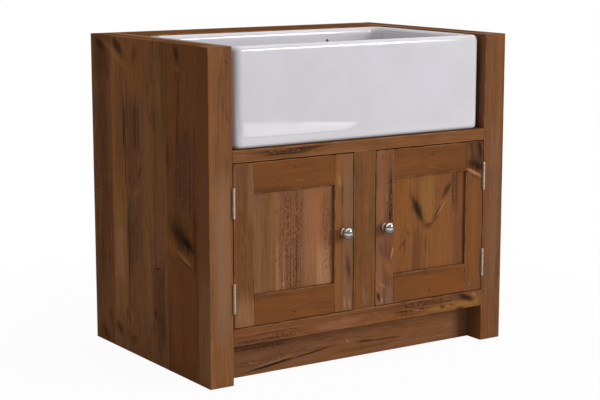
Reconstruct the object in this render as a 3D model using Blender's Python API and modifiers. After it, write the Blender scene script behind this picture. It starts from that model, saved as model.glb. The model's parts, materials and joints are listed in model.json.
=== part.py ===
# Sink unit in reclaimed pine: a glazed butler sink on a base cupboard with two inset doors.
# Metres, +Z up. X runs along the front, Y from the front to the wall, Z from the floor.
# The sizes below are laid out in the unit's own frame: x from its middle, y from the face of
# its front frame, z from the floor. One empty then carries the whole unit.

import math

import bmesh
import bpy
from mathutils import Matrix, Vector

OBJECT_NAME = "sink_unit"

# Fits
FIT = 0.0003                    # gap between pieces that touch
PIN_PLAY = 0.00015              # round a hinge pin
EDGE_BREAK = 0.0012             # taken off the edges of a board
CUT_PAST = 0.002                # how far a cutter runs past the face it opens

# Sink
SINK_WIDTH = 0.797
SINK_DEPTH = 0.470
SINK_HEIGHT = 0.260
SINK_WALL = 0.026
SINK_FLOOR = 0.038
SINK_CORNER = 0.025             # outer upright edges
BOWL_CORNER = 0.030             # inner upright corners
RIM_DEPTH = 0.020               # over which a wall's face rolls into the rim
RIM_SHARE = 0.45                # of the wall that one side of the rim takes
BASE_RADIUS = 0.011
BOWL_FILLET = 0.025             # between the bowl's walls and its floor
FLOOR_FALL = 0.004              # of the bowl's floor, towards the waste
SINK_SETBACK = 0.010            # behind the front frame
SINK_SIDE_GAP = 0.0115
SINK_TOP_DROP = 0.0017          # below the top of the sides

# Overflow: a hole in the back wall, and a channel in the wall and floor down to the waste
OVERFLOW_OFFSET = 0.190         # from the middle, to the right; the waste is in line with it
OVERFLOW_DROP = 0.035           # below the rim
OVERFLOW_HOLE = 0.010
CHANNEL_WIDTH = 0.030
CHANNEL_DEPTH = 0.010

# Carcass
POST_DEPTH = 0.058
SIDE_THICKNESS = 0.024
LINER_THICKNESS = 0.020
TOP_STRIP_WIDTH = 0.0254        # between the side panel and the liner
TOP_STRIP_HEIGHT = 0.025
FRAME_THICKNESS = 0.022
CENTRE_STILE_WIDTH = 0.070
BOTTOM_RAIL_HEIGHT = 0.046
SINK_RAIL_HEIGHT = 0.0315
RAIL_BEHIND_DOOR = 0.023        # how far the sink rail reaches behind the doors
TOE_KICK_HEIGHT = 0.102
TOE_KICK_DEPTH = 0.058
PLINTH_THICKNESS = 0.018
FLOOR_THICKNESS = 0.018
LEDGE_DEPTH = 0.151             # board behind the sink
LEDGE_THICKNESS = 0.028
LEDGE_GAP = 0.0017              # between the sink and that board
BACK_THICKNESS = 0.012
BACK_BOARD_WIDTH = 0.114
BACK_GROOVE = 0.003             # depth of the V between two back boards
BACK_LIFT = 0.030               # of the back boards off the floor
BEARER_WIDTH = 0.040
BEARER_HEIGHT = 0.045
CLEAT_WIDTH = 0.026
CLEAT_HEIGHT = 0.042

# Joinery of the front frame
TENON_THICKNESS = 0.010
TENON_LENGTH = 0.025
TENON_SHOULDER = 0.007
STUB_TENON = 0.010              # of the centre stile

# Doors
DOOR_HEIGHT = 0.4235
DOOR_GAP = 0.0025
DOOR_STILE = 0.060
DOOR_RAIL = 0.080
PANEL_RECESS = 0.008            # behind the door's face
PANEL_THICKNESS = 0.008
PANEL_BACK_RECESS = 0.006
GROOVE_DEPTH = 0.010

# Butt hinges
HINGE_HEIGHT = 0.076
HINGE_TOP_DROP = 0.061          # below the door's top
HINGE_BOTTOM_RISE = 0.040       # above the door's bottom
KNUCKLES = 5
PIN_DIAMETER = 0.0030
PIN_HEAD = 0.0012
LEAF_SETBACK = 0.003            # of its back edge, from the door's back
LEAF_THICKNESS = 0.0015         # rolled round the pin as the knuckle's wall
LEAF_GAP = 0.0009               # between the two leaves of a closed hinge

# Knobs
KNOB_DIAMETER = 0.0335
KNOB_LENGTH = 0.0292
KNOB_NECK = 0.012
KNOB_FOOT = 0.015
KNOB_HEAD_DEPTH = 0.027         # of the flattened ball
KNOB_RISE = 0.003               # above the door's middle
ROSE_DIAMETER = 0.021
ROSE_THICKNESS = 0.0035
SCREW_DIAMETER = 0.004
SCREW_HEAD = 0.008
SCREW_HEAD_HEIGHT = 0.0025
SCREW_IN_KNOB = 0.012

# Catches
CATCH_WIDTH = 0.044
CATCH_DEPTH = 0.014
CATCH_HEIGHT = 0.014
CATCH_FROM_EDGE = 0.034         # its middle, from the door's lock edge
PLATE_WIDTH = 0.034
PLATE_HEIGHT = 0.012
PLATE_THICKNESS = 0.0015
PLATE_DROP = 0.001              # below the door's top

# Waste
WASTE_HOLE = 0.090
FLANGE_LIP = 0.011              # of the flange, past the hole
FLANGE_THICKNESS = 0.003
FLANGE_SLOPE = 0.009            # width of its sloping inner edge
CUP_PLAY = 0.003                # round the cup, in the hole
CUP_WALL = 0.002
CUP_BELOW_NUT = 0.012
OUTLET_BORE = 0.036
OVERFLOW_SLOT = 0.012
SEAL_LIP = 0.011                # of the seal, past the hole
SEAL_THICKNESS = 0.004
NUT_WALL = 0.012
NUT_HEIGHT = 0.011
TAIL_WALL = 0.002
TAIL_LENGTH = 0.070
COLLAR_LIP = 0.007              # of the tail's collar, past its pipe
COLLAR_HEIGHT = 0.014
BASKET_PLAY = 0.0015            # round the basket, in the cup
BASKET_SLOPE = 0.010            # how much narrower its foot is, on the radius
BASKET_WALL = 0.0012
BASKET_DROP = 0.010             # its rim below the flange
BASKET_STEM = 0.008
BASKET_KNOB = 0.018
BASKET_KNOB_HEIGHT = 0.005
BASKET_HOLE = 0.006
BASKET_HOLES = 8

# Round work
TURN_STEPS = 24
WASTE_STEPS = 32
HINGE_STEPS = 12
CORNER_STEPS = 5
RUN_STEPS = 4                   # along each straight run of the sink's loops

# Worked out from the sizes above
inner_half = SINK_WIDTH / 2 + SINK_SIDE_GAP
liner_outer = inner_half + LINER_THICKNESS
side_inner = liner_outer + FIT + TOP_STRIP_WIDTH + FIT
half_width = side_inner + SIDE_THICKNESS
sink_back = SINK_SETBACK + SINK_DEPTH
ledge_front = sink_back + LEDGE_GAP
back_front = ledge_front + LEDGE_DEPTH + FIT
unit_depth = back_front + BACK_THICKNESS
bottom_rail_top = TOE_KICK_HEIGHT + BOTTOM_RAIL_HEIGHT
door_bottom = bottom_rail_top + DOOR_GAP
door_top = door_bottom + DOOR_HEIGHT
sink_rail_bottom = door_top + DOOR_GAP
sink_rail_top = sink_rail_bottom + SINK_RAIL_HEIGHT
door_thickness = PANEL_RECESS + PANEL_THICKNESS + PANEL_BACK_RECESS
sink_rail_depth = door_thickness + RAIL_BEHIND_DOOR
sink_base = sink_rail_top + FIT
sink_top = sink_base + SINK_HEIGHT
bowl_floor = sink_base + SINK_FLOOR
unit_height = sink_top + SINK_TOP_DROP
sink_middle = SINK_SETBACK + SINK_DEPTH / 2
floor_bottom = bottom_rail_top - FLOOR_THICKNESS
bearer_bottom = sink_rail_top - BEARER_HEIGHT
ledge_bottom = unit_height - LEDGE_THICKNESS
door_inner = CENTRE_STILE_WIDTH / 2 + DOOR_GAP
door_outer = inner_half - DOOR_GAP
knob_x = door_inner + DOOR_STILE / 2
knob_z = (door_bottom + door_top) / 2 + KNOB_RISE
knob_projection = FIT + ROSE_THICKNESS + FIT + KNOB_LENGTH
knuckle_radius = PIN_DIAMETER / 2 + PIN_PLAY + LEAF_THICKNESS
hinge_x = inner_half - DOOR_GAP / 2
hinge_y = -(knuckle_radius + FIT)
leaf_depth = door_thickness - LEAF_SETBACK
leaf_near = LEAF_GAP / 2
leaf_far = leaf_near + LEAF_THICKNESS
mortise_depth = leaf_far + FIT - DOOR_GAP / 2
hinge_heights = {
    "upper": door_top - HINGE_TOP_DROP - HINGE_HEIGHT,
    "lower": door_bottom + HINGE_BOTTOM_RISE,
}
rim_width = SINK_WALL * RIM_SHARE
channel_bottom = (SINK_FLOOR - FLANGE_THICKNESS - CHANNEL_DEPTH) / 2
flange_radius = WASTE_HOLE / 2 + FLANGE_LIP
cup_radius = WASTE_HOLE / 2 - CUP_PLAY
flange_bottom = bowl_floor - FLANGE_THICKNESS
seal_top = sink_base - FIT
nut_top = seal_top - SEAL_THICKNESS - FIT
cup_bottom = nut_top - NUT_HEIGHT - CUP_BELOW_NUT
tail_top = cup_bottom - FIT
front_y = -(unit_depth - knob_projection) / 2


def clear_scene():
    for old in list(bpy.data.objects):
        bpy.data.objects.remove(old, do_unlink=True)
    for old in list(bpy.data.collections):
        bpy.data.collections.remove(old)


def new_collection(name):
    made = bpy.data.collections.new(name)
    bpy.context.scene.collection.children.link(made)
    return made


def new_material(name, colour, roughness, metallic=0.0):
    made = bpy.data.materials.new(name)
    made.use_nodes = True
    shader = made.node_tree.nodes["Principled BSDF"]
    shader.inputs["Base Color"].default_value = (*colour, 1.0)
    shader.inputs["Roughness"].default_value = roughness
    shader.inputs["Metallic"].default_value = metallic
    return made


clear_scene()
parts = new_collection(OBJECT_NAME)
cutters = new_collection(OBJECT_NAME + "_cutters")

pine = new_material("reclaimed_pine", (0.17, 0.075, 0.028), 0.55)
pine_inside = new_material("inner_pine", (0.26, 0.15, 0.075), 0.65)
ceramic = new_material("white_glaze", (0.80, 0.80, 0.82), 0.10)
nickel = new_material("polished_nickel", (0.72, 0.70, 0.67), 0.16, 1.0)
hinge_steel = new_material("hinge_steel", (0.62, 0.57, 0.53), 0.30, 1.0)
bright_steel = new_material("bright_steel", (0.64, 0.65, 0.66), 0.22, 1.0)
black_rubber = new_material("black_rubber", (0.02, 0.02, 0.02), 0.80)
white_plastic = new_material("white_plastic", (0.78, 0.78, 0.76), 0.45)


# Carriers: one empty for the unit, and one on the axis of each piece that moves.
# places holds where each stands in the unit's frame.
places = {}


def carrier(name, place, parent=None):
    made = bpy.data.objects.new(name, None)
    made.empty_display_size = 0.05
    parts.objects.link(made)
    places[made.name] = Vector(place)
    if parent is None:
        made.location = (place[0], place[1] + front_y, place[2])
    else:
        made.parent = parent
        made.location = places[made.name] - places[parent.name]
    return made


unit = carrier("unit", (0, 0, 0))
door_carriers = {
    "left": carrier("left_door_axis", (-hinge_x, hinge_y, door_bottom), unit),
    "right": carrier("right_door_axis", (hinge_x, hinge_y, door_bottom), unit),
}
basket_carrier = carrier("basket_axis", (OVERFLOW_OFFSET, sink_middle, bowl_floor), unit)
signs = {"left": -1, "right": 1}


# Building blocks
def new_part(name, mesh, material, centre, parent):
    made = bpy.data.objects.new(name, mesh)
    mesh.materials.append(material)
    parts.objects.link(made)
    made.parent = parent
    made.location = Vector(centre) - places[parent.name]
    return made


def new_cutter(part, name, mesh):
    made = bpy.data.objects.new(part.name + "." + name, mesh)
    cutters.objects.link(made)
    made.parent = part
    made.hide_render = True
    made.display_type = "WIRE"
    return made


def join_or_cut(part, name, mesh, operation):
    other = new_cutter(part, name, mesh)
    step = part.modifiers.new(name, "BOOLEAN")
    step.operation = operation
    step.solver = "EXACT"
    step.object = other


def mesh_from(name, shape):
    mesh = bpy.data.meshes.new(name)
    shape.to_mesh(mesh)
    shape.free()
    return mesh


def box_corners(box):
    low = Vector([min(pair) for pair in zip(*box)])
    high = Vector([max(pair) for pair in zip(*box)])
    return low, high


def boxes_mesh(name, boxes, centre):
    shape = bmesh.new()
    for box in boxes:
        low, high = box_corners(box)
        place = Matrix.Translation((low + high) / 2 - Vector(centre))
        bmesh.ops.create_cube(shape, size=1, matrix=place @ Matrix.Diagonal((*(high - low), 1)))
    return mesh_from(name, shape)


def rod_mesh(name, rods, steps, centre):
    # Each rod is the middle of its axis, the axis's direction, its radius and its length.
    shape = bmesh.new()
    for middle, direction, radius, length in rods:
        turn = Vector(direction).to_track_quat("Z", "Y").to_matrix().to_4x4()
        place = Matrix.Translation(Vector(middle) - Vector(centre)) @ turn
        bmesh.ops.create_cone(shape, cap_ends=True, segments=steps, radius1=radius, radius2=radius,
                              depth=length, matrix=place)
    return mesh_from(name, shape)


def board(name, box, material, parent, tenons=(), cuts=(), edge=EDGE_BREAK):
    # A sawn board with broken edges, then its tenons, then what is cut out of it.
    low, high = box_corners(box)
    centre = (low + high) / 2
    part = new_part(name, boxes_mesh(name, [box], centre), material, centre, parent)
    if edge:
        soften = part.modifiers.new("broken_edges", "BEVEL")
        soften.width = edge
        soften.segments = 1
        soften.limit_method = "ANGLE"
    if tenons:
        join_or_cut(part, "tenons", boxes_mesh(name + ".tenons", tenons, centre), "UNION")
    if cuts:
        join_or_cut(part, "cuts", boxes_mesh(name + ".cuts", cuts, centre), "DIFFERENCE")
    return part


def turned(name, profile, material, centre, parent, steps, closed, turn=(0, 0, 0)):
    # A profile of (radius, height) points, outer side first and downwards, turned about Z.
    shape = bmesh.new()
    points = [shape.verts.new((radius, 0, height)) for radius, height in profile]
    for start, end in zip(points, points[1:]):
        shape.edges.new((start, end))
    if closed:
        shape.edges.new((points[-1], points[0]))
    part = new_part(name, mesh_from(name, shape), material, centre, parent)
    part.rotation_euler = turn
    lathe = part.modifiers.new("turned", "SCREW")
    lathe.steps = steps
    lathe.render_steps = steps
    lathe.use_merge_vertices = True
    lathe.merge_threshold = 0.00001
    lathe.use_smooth_shade = True
    return part


def grown(box, margin=FIT):
    # The same box, larger all round, as the hole that takes it.
    low, high = box_corners(box)
    return (low - Vector([margin] * 3), high + Vector([margin] * 3))


# Front frame
def rail_tenon(sign, low, high):
    # Reaches from inside the rail's end into the post.
    middle = FRAME_THICKNESS / 2
    return (
        (sign * (inner_half - TENON_LENGTH), middle - TENON_THICKNESS / 2, low + TENON_SHOULDER),
        (sign * (inner_half + TENON_LENGTH), middle + TENON_THICKNESS / 2, high - TENON_SHOULDER),
    )


def stile_tenon(low, high):
    # Both stubs of the centre stile in one length.
    half = CENTRE_STILE_WIDTH / 2 - TENON_SHOULDER
    middle = FRAME_THICKNESS / 2
    return (
        (-half, middle - TENON_THICKNESS / 2, low - STUB_TENON),
        (half, middle + TENON_THICKNESS / 2, high + STUB_TENON),
    )


def leaf_mortise(sign, face, into, bottom):
    # In an upright edge at x = face; into is +1 where the wood lies further from the middle.
    return (
        (sign * (face - into * CUT_PAST), -CUT_PAST, bottom - FIT),
        (sign * (face + into * mortise_depth), leaf_depth + FIT, bottom + HINGE_HEIGHT + FIT),
    )


def front_frame():
    rail_end = inner_half - FIT
    stile_low = bottom_rail_top + FIT
    stile_high = sink_rail_bottom - FIT
    stub = grown(stile_tenon(stile_low, stile_high))
    tenons = {}
    for name, low, high, depth in (
        ("sink_rail", sink_rail_bottom, sink_rail_top, sink_rail_depth),
        ("bottom_rail", TOE_KICK_HEIGHT, bottom_rail_top, FRAME_THICKNESS),
    ):
        tenons[name] = [rail_tenon(sign, low, high) for sign in signs.values()]
        board(name, ((-rail_end, 0, low), (rail_end, depth, high)), pine, unit,
              tenons=tenons[name], cuts=[stub])
    half = CENTRE_STILE_WIDTH / 2
    board("centre_stile", ((-half, 0, stile_low), (half, FRAME_THICKNESS, stile_high)), pine, unit,
          tenons=[stile_tenon(stile_low, stile_high)])
    for index, (side, sign) in enumerate(signs.items()):
        cuts = [grown(pair[index]) for pair in tenons.values()]
        cuts += [leaf_mortise(sign, inner_half, 1, low) for low in hinge_heights.values()]
        post = ((sign * inner_half, 0, 0), (sign * half_width, POST_DEPTH, unit_height))
        board(side + "_front_post", post, pine, unit, cuts=cuts)


# Sides, floor, back and what carries the sink
def sides():
    behind_post = POST_DEPTH + FIT
    for side, sign in signs.items():
        board(side + "_side_panel",
              ((sign * side_inner, behind_post, 0), (sign * half_width, unit_depth, unit_height)),
              pine, unit)
        board(side + "_inner_liner",
              ((sign * inner_half, behind_post, 0), (sign * liner_outer, back_front - FIT, unit_height)),
              pine, unit)
        board(side + "_top_strip",
              ((sign * (liner_outer + FIT), behind_post, unit_height - TOP_STRIP_HEIGHT),
               (sign * (side_inner - FIT), back_front - FIT, unit_height)),
              pine, unit)
        board(side + "_sink_bearer",
              ((sign * (inner_half - FIT), sink_rail_depth + FIT, bearer_bottom),
               (sign * (inner_half - BEARER_WIDTH), back_front - FIT, sink_rail_top)),
              pine_inside, unit)
        board(side + "_ledge_cleat",
              ((sign * (inner_half - FIT), ledge_front, ledge_bottom - FIT - CLEAT_HEIGHT),
               (sign * (inner_half - CLEAT_WIDTH), back_front - FIT, ledge_bottom - FIT)),
              pine_inside, unit)


def floor_and_back():
    end = inner_half - FIT
    board("plinth_board",
          ((-end, TOE_KICK_DEPTH, 0), (end, TOE_KICK_DEPTH + PLINTH_THICKNESS, floor_bottom - FIT)),
          pine, unit)
    board("cupboard_floor",
          ((-end, FRAME_THICKNESS + FIT, floor_bottom), (end, back_front - FIT, bottom_rail_top)),
          pine_inside, unit)
    board("rear_floor_bearer",
          ((-end, back_front - FIT - BEARER_WIDTH, floor_bottom - FIT - BEARER_HEIGHT),
           (end, back_front - FIT, floor_bottom - FIT)),
          pine_inside, unit)
    bearer_end = inner_half - BEARER_WIDTH - FIT
    board("rear_sink_bearer",
          ((-bearer_end, sink_back - BEARER_WIDTH, bearer_bottom), (bearer_end, sink_back, sink_rail_top)),
          pine_inside, unit)
    board("rear_top_board",
          ((-end, ledge_front, ledge_bottom), (end, back_front - FIT, unit_height)),
          pine, unit)
    back_boards()


def back_boards():
    # Boards joined edge to edge, with a V groove at each joint, on the wall side.
    edge = side_inner - FIT
    low = Vector((-edge, back_front, BACK_LIFT))
    high = Vector((edge, unit_depth, unit_height))
    back = board("back_panel", (low, high), pine_inside, unit)
    count = max(2, round(2 * edge / BACK_BOARD_WIDTH))
    side = BACK_GROOVE * math.sqrt(2)
    length = (high - low).z + 2 * CUT_PAST
    shape = bmesh.new()
    for joint in range(1, count):
        offset = joint * 2 * edge / count - edge
        place = Matrix.Translation((offset, BACK_THICKNESS / 2, 0)) @ Matrix.Rotation(math.pi / 4, 4, "Z")
        bmesh.ops.create_cube(shape, size=1, matrix=place @ Matrix.Diagonal((side, side, length, 1)))
    join_or_cut(back, "grooves", mesh_from("back_panel.grooves", shape), "DIFFERENCE")


# Sink
def arc(start, end, steps):
    return [start + (end - start) * step / steps for step in range(steps + 1)]


def rounded_loop(half_x, half_y, radius, height):
    # A rectangle with round corners, anticlockwise, with points along its straight runs.
    points = []
    corners = ((1, 1, 0.0), (-1, 1, 0.5), (-1, -1, 1.0), (1, -1, 1.5))
    for sign_x, sign_y, start in corners:
        middle_x = sign_x * (half_x - radius)
        middle_y = sign_y * (half_y - radius)
        for angle in arc(start * math.pi, (start + 0.5) * math.pi, CORNER_STEPS):
            x = middle_x + radius * math.cos(angle)
            y = middle_y + radius * math.sin(angle)
            points.append((x, y, height))
        if sign_x == sign_y:
            run, along = half_x - radius, Vector((-sign_x, 0))
        else:
            run, along = half_y - radius, Vector((0, -sign_y))
        last = Vector(points[-1][:2])
        for step in range(1, RUN_STEPS):
            spot = last + along * 2 * run * step / RUN_STEPS
            points.append((spot.x, spot.y, height))
    return points


def basin_loops():
    # From the underside, up the outside, over the rim, down the inside and out over the floor.
    half_x = SINK_WIDTH / 2
    half_y = SINK_DEPTH / 2
    top = SINK_HEIGHT
    loops = []

    def outside(inset, height):
        corner = max(SINK_CORNER - inset, EDGE_BREAK)
        loops.append(rounded_loop(half_x - inset, half_y - inset, corner, height))

    def inside(out, height):
        inset = SINK_WALL - out
        corner = max(BOWL_CORNER + out, EDGE_BREAK)
        loops.append(rounded_loop(half_x - inset, half_y - inset, corner, height))

    for angle in arc(0, math.pi / 2, 2):
        outside(BASE_RADIUS * (1 - math.sin(angle)), BASE_RADIUS * (1 - math.cos(angle)))
    for angle in arc(0, math.pi / 2, 4):
        outside(rim_width * (1 - math.cos(angle)), top - RIM_DEPTH * (1 - math.sin(angle)))
    for angle in arc(0, math.pi / 2, 4):
        inside(rim_width * (1 - math.sin(angle)), top - RIM_DEPTH * (1 - math.cos(angle)))
    floor = SINK_FLOOR + FLOOR_FALL
    for angle in arc(0, math.pi / 2, 4):
        inside(-BOWL_FILLET * (1 - math.cos(angle)), floor + BOWL_FILLET * (1 - math.sin(angle)))
    dish = flange_radius + FLANGE_LIP
    ring = []
    for x, y, height in loops[-1]:
        angle = math.atan2(y, x - OVERFLOW_OFFSET)
        ring.append((OVERFLOW_OFFSET + dish * math.cos(angle), dish * math.sin(angle), SINK_FLOOR))
    loops.append(ring)
    return loops


def loft(name, loops):
    # Bands of faces between loops of as many points, closed by a face at each end.
    shape = bmesh.new()
    rings = [[shape.verts.new(point) for point in loop] for loop in loops]
    for low, high in zip(rings, rings[1:]):
        for here in range(len(low)):
            after = (here + 1) % len(low)
            shape.faces.new((low[here], low[after], high[after], high[here]))
    shape.faces.new(reversed(rings[0]))
    shape.faces.new(rings[-1])
    return mesh_from(name, shape)


def sink():
    basin = new_part("sink_basin", loft("sink_basin", basin_loops()), ceramic,
                     (0, sink_middle, sink_base), unit)
    up = (0, 0, 1)
    hole = ((OVERFLOW_OFFSET, 0, SINK_FLOOR / 2), up, WASTE_HOLE / 2, SINK_FLOOR + 2 * CUT_PAST)
    recess_depth = FLANGE_THICKNESS + FIT
    recess = ((OVERFLOW_OFFSET, 0, SINK_FLOOR + CUT_PAST / 2 - recess_depth / 2), up,
              flange_radius + FIT, recess_depth + CUT_PAST)
    wall_middle = SINK_DEPTH / 2 - SINK_WALL / 2
    hole_height = SINK_HEIGHT - OVERFLOW_DROP
    bowl_face = SINK_DEPTH / 2 - SINK_WALL
    overflow = ((OVERFLOW_OFFSET, (bowl_face - CUT_PAST + wall_middle) / 2, hole_height), (0, 1, 0),
                OVERFLOW_HOLE / 2, wall_middle - bowl_face + CUT_PAST)
    left = OVERFLOW_OFFSET - CHANNEL_WIDTH / 2
    right = OVERFLOW_OFFSET + CHANNEL_WIDTH / 2
    channel_top = channel_bottom + CHANNEL_DEPTH
    drop = ((left, wall_middle - CHANNEL_DEPTH / 2, channel_bottom),
            (right, wall_middle + CHANNEL_DEPTH / 2, hole_height + OVERFLOW_HOLE))
    run = ((left + FIT, WASTE_HOLE / 4, channel_bottom + FIT), (right - FIT, wall_middle, channel_top))
    for name, rod, steps in (("waste_hole", hole, WASTE_STEPS), ("flange_recess", recess, WASTE_STEPS),
                             ("overflow_hole", overflow, HINGE_STEPS)):
        join_or_cut(basin, name, rod_mesh(name, [rod], steps, (0, 0, 0)), "DIFFERENCE")
    for name, box in (("channel_drop", drop), ("channel_run", run)):
        join_or_cut(basin, name, boxes_mesh(name, [box], (0, 0, 0)), "DIFFERENCE")


def waste():
    foot = (OVERFLOW_OFFSET, sink_middle, 0)
    cup_in = cup_radius - CUP_WALL
    flange_top = bowl_floor + FIT
    flange_edge = FLANGE_THICKNESS / 3
    outlet = OUTLET_BORE / 2
    cup = turned("waste_cup", [
        (flange_radius - flange_edge, flange_top),
        (flange_radius, flange_top - flange_edge),
        (flange_radius, flange_bottom),
        (cup_radius, flange_bottom),
        (cup_radius, cup_bottom),
        (outlet, cup_bottom),
        (outlet, cup_bottom + CUP_WALL),
        (cup_in, cup_bottom + CUP_WALL),
        (cup_in, flange_top - FLANGE_THICKNESS / 2),
        (cup_in + FLANGE_SLOPE, flange_top),
    ], bright_steel, foot, unit, WASTE_STEPS, True)
    # Two boxes through the cup make four slots, level with the overflow channel.
    level = sink_base + channel_bottom + CHANNEL_DEPTH / 2
    reach = 2 * cup_radius
    for name, along in (("slots_x", Vector((1, 0, 0))), ("slots_y", Vector((0, 1, 0)))):
        across = Vector((along.y, along.x, 0))
        corner = along * reach + across * OVERFLOW_SLOT / 2 + Vector((0, 0, CHANNEL_DEPTH / 2))
        middle = Vector((0, 0, level))
        box = (middle - corner, middle + corner)
        join_or_cut(cup, name, boxes_mesh(name, [box], (0, 0, 0)), "DIFFERENCE")
    ring = cup_radius + FIT
    for name, radius, top, height, material in (
        ("waste_seal", WASTE_HOLE / 2 + SEAL_LIP, seal_top, SEAL_THICKNESS, black_rubber),
        ("waste_back_nut", ring + NUT_WALL, nut_top, NUT_HEIGHT, white_plastic),
    ):
        turned(name, [(radius, top), (radius, top - height), (ring, top - height), (ring, top)],
               material, foot, unit, WASTE_STEPS, True)
    pipe = outlet + TAIL_WALL
    collar_bottom = tail_top - COLLAR_HEIGHT
    turned("waste_tail", [
        (pipe + COLLAR_LIP, tail_top),
        (pipe + COLLAR_LIP, collar_bottom),
        (pipe, collar_bottom),
        (pipe, tail_top - TAIL_LENGTH),
        (outlet, tail_top - TAIL_LENGTH),
        (outlet, tail_top),
    ], white_plastic, foot, unit, TURN_STEPS, True)


def strainer_basket():
    bottom = cup_bottom + CUP_WALL + FIT
    rim = bowl_floor - BASKET_DROP
    rim_out = cup_radius - CUP_WALL - BASKET_PLAY
    foot_out = rim_out - BASKET_SLOPE
    knob_top = bowl_floor - FIT
    knob_low = knob_top - BASKET_KNOB_HEIGHT
    stem = BASKET_STEM / 2
    knob = BASKET_KNOB / 2
    profile = [
        (0, knob_top),
        (knob - BASKET_WALL, knob_top),
        (knob, knob_top - BASKET_WALL),
        (knob, knob_low),
        (stem, knob_low),
        (stem, bottom + BASKET_WALL),
        (foot_out - BASKET_WALL, bottom + BASKET_WALL),
        (rim_out - BASKET_WALL, rim),
        (rim_out, rim),
        (foot_out, bottom),
        (0, bottom),
    ]
    axis = places[basket_carrier.name]
    centre = (axis.x, axis.y, bowl_floor)
    basket = turned("strainer_basket", [(radius, height - bowl_floor) for radius, height in profile],
                    bright_steel, centre, basket_carrier, WASTE_STEPS, False)
    circle = (stem + foot_out) / 2
    rods = []
    for index in range(BASKET_HOLES):
        angle = 2 * math.pi * index / BASKET_HOLES
        middle = (circle * math.cos(angle), circle * math.sin(angle), bottom - bowl_floor)
        rods.append((middle, (0, 0, 1), BASKET_HOLE / 2, 4 * BASKET_WALL))
    holes = rod_mesh("strainer_holes", rods, HINGE_STEPS // 2, (0, 0, 0))
    join_or_cut(basket, "holes", holes, "DIFFERENCE")


# Doors
def door(side):
    sign = signs[side]
    parent = door_carriers[side]
    groove = (PANEL_RECESS - FIT, PANEL_RECESS + PANEL_THICKNESS + FIT)
    tongue = (PANEL_RECESS, PANEL_RECESS + PANEL_THICKNESS)
    lock_edge = door_inner + DOOR_STILE
    hinge_edge = door_outer - DOOR_STILE
    rail_low = door_bottom + DOOR_RAIL
    rail_high = door_top - DOOR_RAIL

    def upright(name, near, far, edge, into, cuts=()):
        # into points from the stile's grooved edge towards its own wood.
        slot = ((sign * (edge - into * CUT_PAST), groove[0], door_bottom - CUT_PAST),
                (sign * (edge + into * GROOVE_DEPTH), groove[1], door_top + CUT_PAST))
        return board(side + name, ((sign * near, 0, door_bottom), (sign * far, door_thickness, door_top)),
                     pine, parent, cuts=[slot, *cuts])

    mortises = [leaf_mortise(sign, door_outer, -1, low) for low in hinge_heights.values()]
    upright("_door_hinge_stile", hinge_edge, door_outer, hinge_edge, 1, mortises)
    lock_stile = upright("_door_lock_stile", door_inner, lock_edge, lock_edge, -1)
    screw_hole = ((sign * knob_x, door_thickness / 2, knob_z), (0, 1, 0), SCREW_DIAMETER / 2 + FIT,
                  door_thickness + 2 * CUT_PAST)
    stile_centre = (sign * (door_inner + lock_edge) / 2, door_thickness / 2, (door_bottom + door_top) / 2)
    join_or_cut(lock_stile, "screw_hole",
                rod_mesh("screw_hole", [screw_hole], HINGE_STEPS, stile_centre), "DIFFERENCE")

    def cross(name, outer, inner, into):
        # outer and inner are the rail's edges; into points from the inner edge into the wood.
        slot = ((sign * (lock_edge - GROOVE_DEPTH - CUT_PAST), groove[0], inner - into * CUT_PAST),
                (sign * (hinge_edge + GROOVE_DEPTH + CUT_PAST), groove[1], inner + into * GROOVE_DEPTH))
        reach = GROOVE_DEPTH - FIT
        tenon = ((sign * (lock_edge - reach), tongue[0], inner + into * (GROOVE_DEPTH + FIT)),
                 (sign * (hinge_edge + reach), tongue[1], outer - into * FIT))
        board(side + name,
              ((sign * (lock_edge + FIT), 0, outer), (sign * (hinge_edge - FIT), door_thickness, inner)),
              pine, parent, tenons=[tenon], cuts=[slot])

    cross("_door_top_rail", door_top, rail_high, 1)
    cross("_door_bottom_rail", door_bottom, rail_low, -1)
    spread = GROOVE_DEPTH - FIT
    board(side + "_door_panel",
          ((sign * (lock_edge - spread), tongue[0], rail_low - spread),
           (sign * (hinge_edge + spread), tongue[1], rail_high + spread)),
          pine, parent, edge=0)
    knob(side, sign, parent)
    catch(side, sign, parent)
    for level, low in hinge_heights.items():
        butt_hinge(side + "_" + level, sign, low, parent)


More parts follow.
